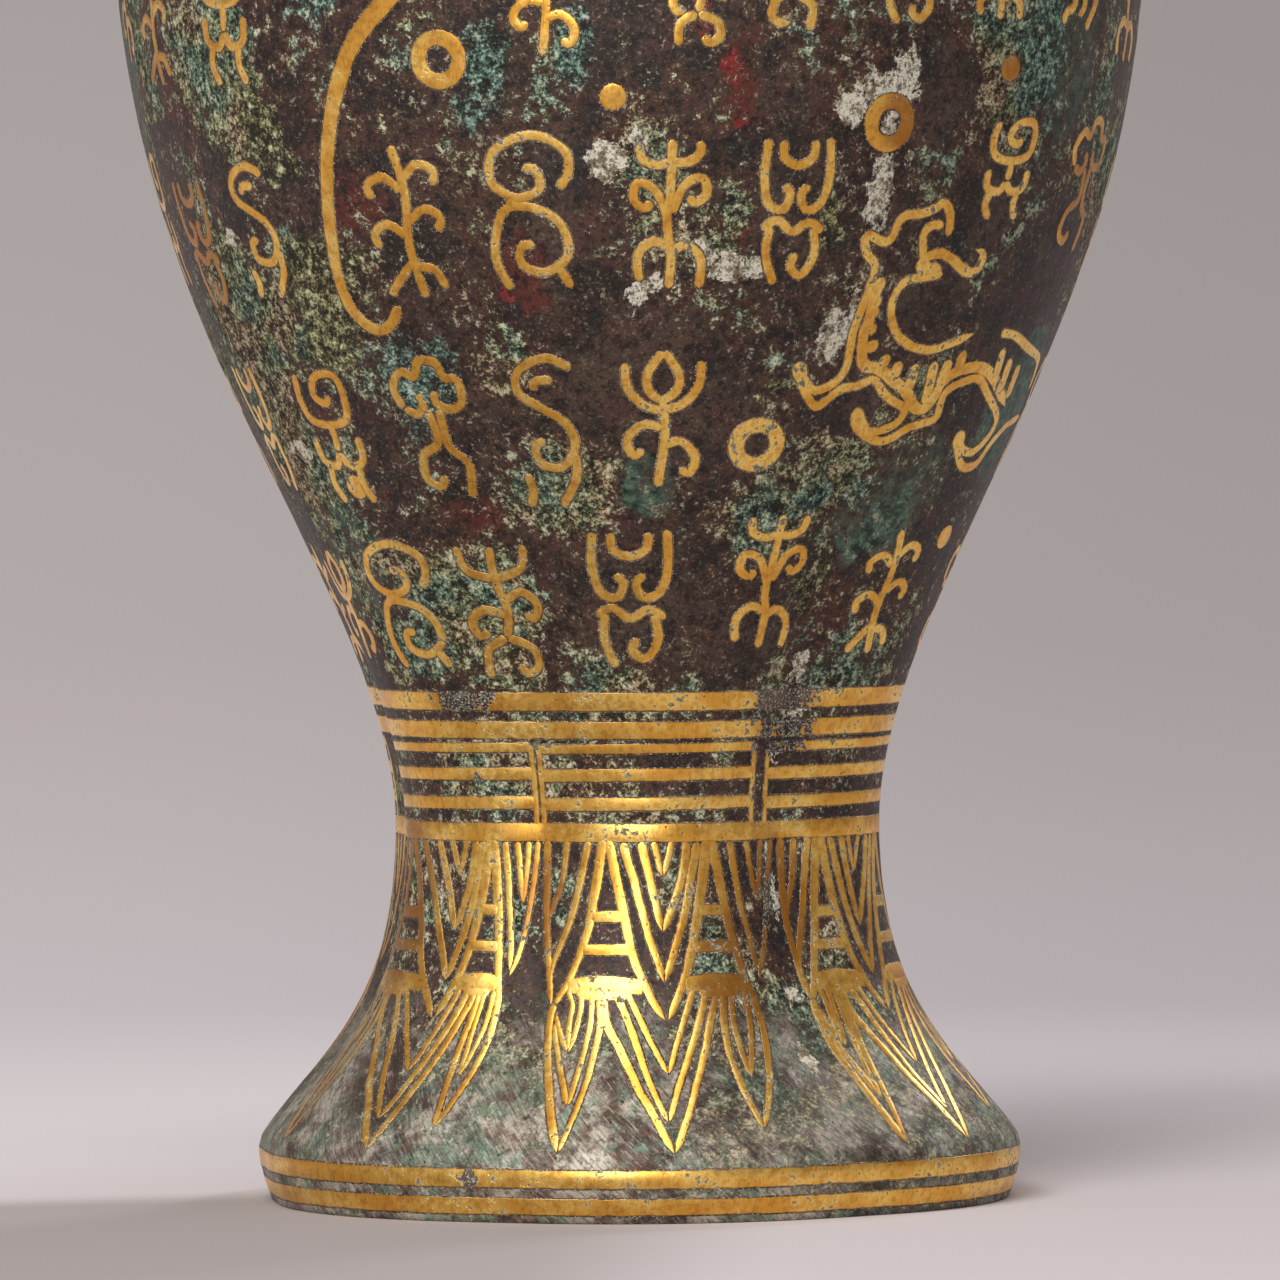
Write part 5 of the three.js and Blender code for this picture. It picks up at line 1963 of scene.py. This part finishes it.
    def dress(self, graver: Graver, finish: bpy.types.Material) -> None:
        """Lays the hook and the beast.

        Args:
            graver: The graver on the body.
            finish: The gold.
        """
        hook = Stroke(self.hook, 4.4, 2.3, start=End.POINT)
        graver.gild("gilt_hook", [hook], finish, "hook_1")
        graver.gild("gilt_beast_back", self._back(), finish, "beast_1_back")
        graver.gild("gilt_beast_chest", self._chest(), finish, "beast_1_chest")
        graver.gild("gilt_beast_belly", self._belly(), finish, "beast_1_belly")


class Scroll(Enum):
    """The scroll ornaments, each drawn in a field 16 wide and 32 tall."""

    SPRIG = (
        ((0.4, 15.5), (0, 4), (-0.6, -2), (0.4, -8), (0, -15.5)),
        ((-0.3, -1), (-3, 5), (-6.6, 6.4), (-7.4, 3), (-5, 1.2), (-3.8, 3)),
        ((0.3, 0), (3, 6), (6.6, 7.4), (7.4, 4), (5, 2.2), (3.8, 4)),
        ((-6.2, 15), (-5.6, 11.4), (-2.6, 10.2), (0.2, 11)),
        ((6.2, 15.3), (5.6, 12), (2.8, 10.6), (0.2, 11)),
        ((0.2, -7), (-3.4, -5.6), (-6.6, -8.6), (-6.2, -14)),
        ((0.2, -8), (3.6, -6.4), (6.8, -9.6), (6.6, -15.5)),
    )
    LONG_WAVE = (
        (
            (6.4, 13.4), (1, 15.5), (-5, 13), (-5.8, 8.4), (-1, 5.2), (4, 2.2), (6, -2.6),
            (2.8, -7), (-2.6, -6.4), (-3.4, -2.8), (-0.6, -1.6),
        ),
        ((6, -4), (5.6, -9.6), (1.6, -15.5)),
        ((2.4, 11), (-1.8, 10.6), (-2, 8.6)),
        ((-6.6, -8.4), (-5.4, -12), (-6.6, -15.5)),
    )
    CLOUD = (
        (
            (-6.4, 4.4), (-7.6, 9), (-5, 12.6), (-2.2, 11.4), (-0.4, 15), (3.2, 14.4), (4.2, 11.2),
            (7, 10.6), (7.2, 6), (4.6, 4.2), (1.6, 5.4), (1.4, 8.4),
        ),
        ((-6.4, 4.4), (-3.4, 3.2), (-1.6, 5.4), (-2.6, 7.8)),
        ((-1, 4.4), (-0.4, -3), (-4.6, -6), (-5.4, -11), (-2.4, -13), (-0.8, -10.4)),
        ((1.6, 4.4), (2, -4), (5.6, -8), (4.6, -15.5)),
    )
    FERN = (
        ((-1, 15.5), (0.6, 6), (0, -5), (1.6, -15.5)),
        ((0.4, 8.4), (3.6, 11.4), (6.8, 10), (6.2, 7)),
        ((0.2, 6), (-3.6, 9), (-6.8, 7.2), (-6, 4.4)),
        ((0.2, -0.4), (4, 2.4), (7, 0.6), (6, -2.2)),
        ((0, -3), (-4, -0.6), (-7, -2.6), (-6, -5.4)),
        ((0.4, -8), (-2.6, -11), (-6, -15)),
        ((0.8, -9), (4.4, -9.8), (6.4, -13.6)),
    )
    KNOT = (
        (
            (-5.6, 14.6), (-6.8, 9), (-5.4, 4), (0, 2.6), (5.4, 4), (6.8, 9), (5.6, 14),
            (0.4, 13.8), (-1.8, 9.6), (1, 7.6), (2.8, 9.4),
        ),
        ((0, 2.6), (0.3, -0.6), (-0.4, -3.6)),
        ((-6.8, 0), (-6.2, -5.6), (-2, -6.8), (-0.4, -3.6)),
        ((6.8, 0), (6.2, -5.6), (2, -6.8), (-0.4, -3.6)),
        ((-4.6, -6.6), (-5.6, -11), (-3.6, -15.5)),
        ((4.6, -6.6), (4, -11), (6, -15.5)),
    )
    PAIRED_HOOKS = (
        ((-6.6, 15), (-7, 7), (-5.8, 1.6), (-2.6, 0.2), (-1.2, 3.4), (-3, 5.4)),
        ((6.6, 15.4), (7, 7), (5.8, 1.6), (2.6, 0.2), (1.2, 3.4), (3, 5.4)),
        ((-3.4, 14.8), (-3, 11), (0, 9.4), (3, 11), (3.4, 14.8)),
        ((-7, -4), (-3.6, -2), (0, -4.4), (3.6, -2.4), (7, -4.6)),
        ((-5, -3), (-5.4, -9), (-3, -15.5)),
        ((4.6, -3.4), (5.6, -9), (3.2, -13.4), (0.4, -11.6), (1.4, -8.6)),
    )
    LOTUS = (
        ((0, 15.5), (-2.8, 10.6), (-2.6, 6.6), (0, 4.4), (2.6, 6.6), (2.8, 10.6), (0, 15.5)),
        ((-7, 13), (-6.6, 7.4), (-3.8, 3.4), (0, 2)),
        ((7, 13.4), (6.6, 7.4), (3.8, 3.4), (0, 2)),
        ((0, 4.4), (0.6, -4), (-0.6, -15.5)),
        ((0.4, -2), (-3.6, -1.2), (-6.8, -4.6), (-5.6, -8.2), (-3.4, -6.8)),
        ((0.3, -6), (3.8, -5), (6.8, -8.6), (5.8, -12.4), (3.6, -11.2)),
    )
    WAVES = (
        ((-7, 11), (-4, 14.4), (0, 11.6), (3.6, 14.8), (7, 12), (6, 9.4)),
        ((-7, 4.4), (-4, 7.6), (0, 4.8), (3.6, 8), (7, 5.8)),
        ((-7, -2.2), (-4, 1), (0, -1.8), (3.6, 1.2), (6.6, -2), (5.6, -8), (2.4, -15.5)),
        ((-3.4, 0.6), (-3.2, -7), (-6.4, -10), (-6.8, -14)),
        ((0.6, -2), (1.2, -7), (-1, -11)),
    )
    TWO_TURNS = (
        (
            (5.2, 4.6), (7, 8), (6.4, 12.6), (1, 15.5), (-5.4, 12.6), (-6.6, 6.6), (-2.6, 3),
            (1.8, 4.6), (1.6, 8.4), (-1, 9),
        ),
        (
            (-4.6, -15.5), (-6.8, -10), (-6.4, -4), (-4, 1), (1.4, 0.6), (5.4, -2.6), (6.2, -8.6),
            (2, -12), (-2.2, -10.4), (-2, -6.8), (0.6, -6.4),
        ),
        ((-2.8, 3), (-4, 1)),
        ((4.4, -10.8), (6.8, -15.2)),
    )
    FORKED_STEM = (
        ((-6.6, 15), (-5.4, 9.4), (-0.6, 7.4)),
        ((6, 15.5), (4.8, 10), (-0.6, 7.4)),
        ((-0.4, 15), (-0.6, 7.4), (0.6, 0), (-0.6, -6)),
        ((0.2, 2.4), (4, 4.4), (7, 1.6), (6, -1.6), (3.8, -0.6)),
        ((0.4, -1), (-4, 0.4), (-7, -2.4), (-6, -5.6), (-3.8, -4.6)),
        ((-0.6, -6), (-5, -9), (-5.6, -15.5)),
        ((-0.6, -6), (4.4, -8.6), (5.2, -12.6), (2.4, -14.4), (1, -12)),
    )


@dataclass
class ScrollRows:
    """The rows of scroll ornaments between the shoulder and the waist.

    Attributes:
        front: The rows as seen from the front: each ornament's angle, height, width,
            height over the wall, and drawing.
        behind: For each row: its height, the ornaments' size, and their angles.
        line: How wide the gold line is.
    """

    line: float = 1.95
    front: tuple[tuple[tuple[float, float, float, float, Scroll], ...], ...] = (
        (
            (-73.5, 236, 15, 29, Scroll.FERN), (-57.5, 235, 14, 28, Scroll.KNOT),
            (-16.3, 237.5, 14, 24, Scroll.LOTUS), (0.6, 238, 12, 22, Scroll.FORKED_STEM),
            (10.8, 240, 12, 20, Scroll.CLOUD), (25.2, 240.5, 14, 18, Scroll.PAIRED_HOOKS),
            (38, 241, 13, 17, Scroll.SPRIG), (52.5, 240, 14, 18, Scroll.WAVES),
        ),
        (
            (-73.5, 191, 16, 28, Scroll.PAIRED_HOOKS), (-58.2, 193, 13, 28, Scroll.LONG_WAVE),
            (-35, 194.6, 17, 32, Scroll.FERN), (-19, 196, 18, 32, Scroll.TWO_TURNS),
            (-2.5, 195.5, 15, 31, Scroll.SPRIG), (12.5, 196, 15, 31, Scroll.PAIRED_HOOKS),
            (43.1, 204, 14, 21, Scroll.KNOT), (61, 201, 17, 28, Scroll.CLOUD),
        ),
        (
            (-56, 153, 15, 30, Scroll.KNOT), (-36.9, 154.5, 15, 31, Scroll.CLOUD),
            (-19.4, 153.5, 14, 33, Scroll.LONG_WAVE), (-2.9, 156, 16, 30, Scroll.LOTUS),
        ),
        (
            (-53.4, 119.5, 17, 28, Scroll.TWO_TURNS), (-32.6, 118.5, 17, 30, Scroll.FORKED_STEM),
            (-7.8, 121, 16, 31, Scroll.PAIRED_HOOKS), (17.8, 124, 15, 30, Scroll.SPRIG),
            (45, 121.5, 14, 28, Scroll.FERN),
        ),
    )
    behind: tuple[tuple[float, float, float, tuple[float, ...]], ...] = (
        (238, 14, 25, (67, 82, 106, 121, 137, 153, 169, 185, 201, 217, 233, 249, 272)),
        (196, 15, 29, (78, 96, 134, 151, 168, 185, 202, 219, 236, 254, 271)),
        (155, 14, 29, (77, 96, 115, 132, 168, 187, 206, 225, 262, 283)),
        (120, 14, 26, (72, 100, 128, 156, 184, 212, 240, 266, 286)),
        (276, 13, 22, tuple(range(8, 368, 18))),
    )

    def _ornament(
        self, place: Place, wide: float, tall: float, scroll: Scroll, flip: bool
    ) -> list[Stroke]:
        """Draws one ornament.

        Args:
            place: Its middle.
            wide: How wide it is.
            tall: How tall it is.
            scroll: Its drawing.
            flip: Whether it is turned left to right.

        Returns:
            The strokes.
        """
        side = -wide / 16.0 if flip else wide / 16.0
        strokes = []
        for line in scroll.value:
            places = [BODY_WALL.shifted(place, x * side, y * tall / 32.0) for x, y in line]
            strokes.append(Stroke(places, self.line))
        return strokes

    def dress(self, graver: Graver, finish: bpy.types.Material) -> None:
        """Lays the rows.

        Args:
            graver: The graver on the body.
            finish: The gold.
        """
        dice = random.Random(11)
        kinds = list(Scroll)
        for row, (height, wide, tall, angles) in enumerate(self.behind):
            strokes: list[Stroke] = []
            for angle, level, width, rise, scroll in self.front[row] if row < 4 else ():
                strokes += self._ornament((angle, level), width, rise, scroll, False)
            for index, angle in enumerate(angles):
                spot = (angle + dice.uniform(-1.0, 1.0), height + dice.uniform(-1.5, 1.5))
                size = dice.uniform(0.92, 1.08)
                scroll = kinds[(index * 3 + row * 4) % len(kinds)]
                strokes += self._ornament(spot, wide * size, tall * size, scroll, index % 2 == 1)
            graver.gild(f"gilt_scroll_row_{row + 1}", strokes, finish)


@dataclass
class Lamp:
    """A soft lamp.

    Attributes:
        name: What it does.
        at: Where it hangs, in metres.
        aim: What it points at, in metres.
        size: The sides of its face, in metres.
        power: Its power in watts.
        colour: The colour of its light.
    """

    name: str
    at: tuple[float, float, float]
    aim: tuple[float, float, float]
    size: tuple[float, float]
    power: float
    colour: tuple[float, float, float] = (1.0, 1.0, 1.0)

    def hang(self) -> None:
        """Hangs the lamp."""
        light = bpy.data.lights.new(self.name, "AREA")
        light.shape = "RECTANGLE"
        light.size, light.size_y = self.size
        light.energy = self.power
        light.color = self.colour
        lamp = bpy.data.objects.new(self.name, light)
        lamp.location = self.at
        facing = Vector(self.aim) - Vector(self.at)
        lamp.rotation_euler = facing.to_track_quat("-Z", "Y").to_euler()
        bpy.context.scene.collection.objects.link(lamp)


@dataclass
class Studio:
    """The pale floor, the backdrop, the lamps and the camera.

    Attributes:
        lamps: The lamps.
        lens: The camera's focal length in millimetres, on a sensor 36 wide.
        distance: How far the camera stands from the axis, in metres.
        eye: How high it stands, in metres.
        azimuth: Its angle round the vase, in degrees.
        down: How far it looks down, in degrees.
        aside: How far it looks to the right of the axis, in degrees.
        roll: How far it is tipped clockwise, in degrees.
        floor_colour: The floor.
        painted_shadow_colour: The floor's painted shadow, in front and to the left.
        sky: The backdrop's colour by how steeply a look goes up, lowest first.
    """

    lamps: tuple[Lamp, ...] = (
        Lamp("key_softbox", (-0.72, -1.12, 1.25), (0.0, 0.0, 0.14), (0.9, 0.9), 20.0),
        Lamp("front_softbox", (-0.9, -2.75, 0.6), (0.0, 0.0, 0.14), (1.3, 0.7), 26.0),
        Lamp("top_softbox", (-0.05, -0.55, 1.5), (0.0, -0.05, 0.1), (0.8, 0.6), 5.0),
        Lamp("right_back", (1.25, 1.2, 1.05), (0.0, 0.0, 0.05), (0.35, 0.35), 10.0),
    )
    lens: float = 329.06
    distance: float = 2.34
    eye: float = 0.174
    azimuth: float = -7.0
    down: float = 1.533
    aside: float = 0.025
    roll: float = 0.4815
    floor_colour: tuple[float, float, float, float] = tint(208, 199, 199)
    # The colour of the painted shadow on the floor.
    painted_shadow_colour: tuple[float, float, float, float] = tint(177, 168, 166)
    sky: tuple[tuple[float, tuple[float, float, float, float]], ...] = (
        (-0.0700, tint(209, 200, 202)),
        (-0.0575, tint(188, 179, 182)),
        (-0.0267, tint(172, 164, 162)),
        (0.0280, tint(162, 154, 152)),
    )

    def floor(self) -> bpy.types.Object:
        """Lays the floor, which thins out behind the vase into the backdrop. Its colour holds a
        painted shadow in front and to the left, and painted light that makes it lighter towards the
        back.

        Returns:
            The floor.
        """
        shape = bmesh.new()
        bmesh.ops.create_circle(shape, cap_ends=True, segments=96, radius=3.0)
        mesh = bpy.data.meshes.new("studio_floor")
        shape.to_mesh(mesh)
        shape.free()
        floor = bpy.data.objects.new("studio_floor", mesh)
        bpy.context.scene.collection.objects.link(floor)
        material = bpy.data.materials.new("paper_floor")
        bench = Bench(material)
        where = bench.place()
        away = (where * (1.0, 1.0, 0.0)).length()
        across, along = where.part("X"), where.part("Y")
        # A painted shadow on the floor, in front of the vase and to its left.
        painted_shadow = 1.0 - (across - along * 0.2).between(-15.0, 40.0)
        painted_shadow = painted_shadow * (1.0 - (along - across * 0.14).between(10.0, 46.0))
        # Painted light: the floor is lighter towards the back.
        far = bench.wash(self.floor_colour, tint(234, 225, 226), along.between(-60.0, 140.0))
        colour = bench.wash(far, self.painted_shadow_colour, painted_shadow)
        paper = bench.add("ShaderNodeBsdfDiffuse", {}, {"Color": colour})
        clear = bench.add("ShaderNodeBsdfTransparent")
        mixed = bench.add(
            "ShaderNodeMixShader", {}, {0: away.between(230.0, 700.0), 1: paper, 2: clear}
        )
        bench.add("ShaderNodeOutputMaterial", {}, {"Surface": mixed})
        mesh.materials.append(material)
        return floor

    def backdrop(self) -> None:
        """Gives the world its soft light and, to the eye and in gloss, its backdrop, painted
        lighter on the left than on the right.
        """
        world = bpy.data.worlds.new("backdrop")
        bpy.context.scene.world = world
        bench = Bench(world)
        look = bench.add("ShaderNodeTexCoord", {}, {}, "Generated")
        low, high = self.sky[0][0], self.sky[-1][0]
        stops = [((steep - low) / (high - low), colour) for steep, colour in self.sky]
        share = (look.part("Z") - low) / (high - low)
        seen = bench.add("ShaderNodeValToRGB", {"stops": stops}, {"Fac": share}, "Color")
        # Painted light: the backdrop is painted lighter to the left and darker to the right.
        right = look.part("X") * math.cos(math.radians(self.azimuth))
        right = right + look.part("Y") * math.sin(math.radians(self.azimuth))
        pale, dusky = seen * (1.09, 1.09, 1.09), seen * (0.91, 0.91, 0.91)
        seen = bench.wash(pale, dusky, right.between(-0.06, 0.06))
        path = bench.add("ShaderNodeLightPath", {}, {}, "Is Camera Ray")
        for way in ("Is Glossy Ray", "Is Transmission Ray"):
            path = path | bench.add("ShaderNodeLightPath", {}, {}, way)
        glow = {"Color": tint(226, 224, 228), "Strength": 0.24}
        soft = bench.add("ShaderNodeBackground", {}, glow)
        shown = bench.add("ShaderNodeBackground", {}, {"Color": seen, "Strength": 1.0})
        mixed = bench.add("ShaderNodeMixShader", {}, {0: path, 1: soft, 2: shown})
        bench.add("ShaderNodeOutputWorld", {}, {"Surface": mixed})

    def camera(self) -> None:
        """Stands the camera where the still was taken from."""
        data = bpy.data.cameras.new("camera")
        data.lens = self.lens
        data.sensor_width = 36.0
        data.clip_end = 20.0
        camera = bpy.data.objects.new("camera", data)
        turn = math.radians(self.azimuth)
        spot = Vector((math.sin(turn) * self.distance, -math.cos(turn) * self.distance, self.eye))
        facing = (
            Matrix.Rotation(math.radians(self.azimuth - self.aside), 3, "Z")
            @ Matrix.Rotation(math.radians(90.0 - self.down), 3, "X")
            @ Matrix.Rotation(math.radians(-self.roll), 3, "Z")
        )
        camera.location = spot
        camera.rotation_euler = facing.to_euler()
        bpy.context.scene.collection.objects.link(camera)
        bpy.context.scene.camera = camera

    def dress(self) -> None:
        """Sets the studio up."""
        bpy.context.scene.view_settings.view_transform = "Standard"
        self.floor()
        self.backdrop()
        self.camera()
        for lamp in self.lamps:
            lamp.hang()


def main() -> None:
    """Dresses the vase and its studio, piece by piece."""
    logging.basicConfig(level=logging.INFO, format="%(message)s")
    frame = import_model()
    LOG.info("%d solids in the frame", len(frame["nodes"]))
    bronze = BuriedBronze().make()
    gold = GildedInlay().make()
    Castings().dress(bronze)
    on_body, on_neck = Graver(BODY_WALL), Graver(NECK_WALL)
    Bands().dress(on_body, on_neck, gold)
    LeafPanels().dress(on_body, gold)
    NeckLeaves().dress(on_neck, gold)
    Roundels().dress(on_body, gold)
    Figures().dress(on_body, gold)
    ScrollRows().dress(on_body, gold)
    Studio().dress()


if __name__ == "__main__":
    main()
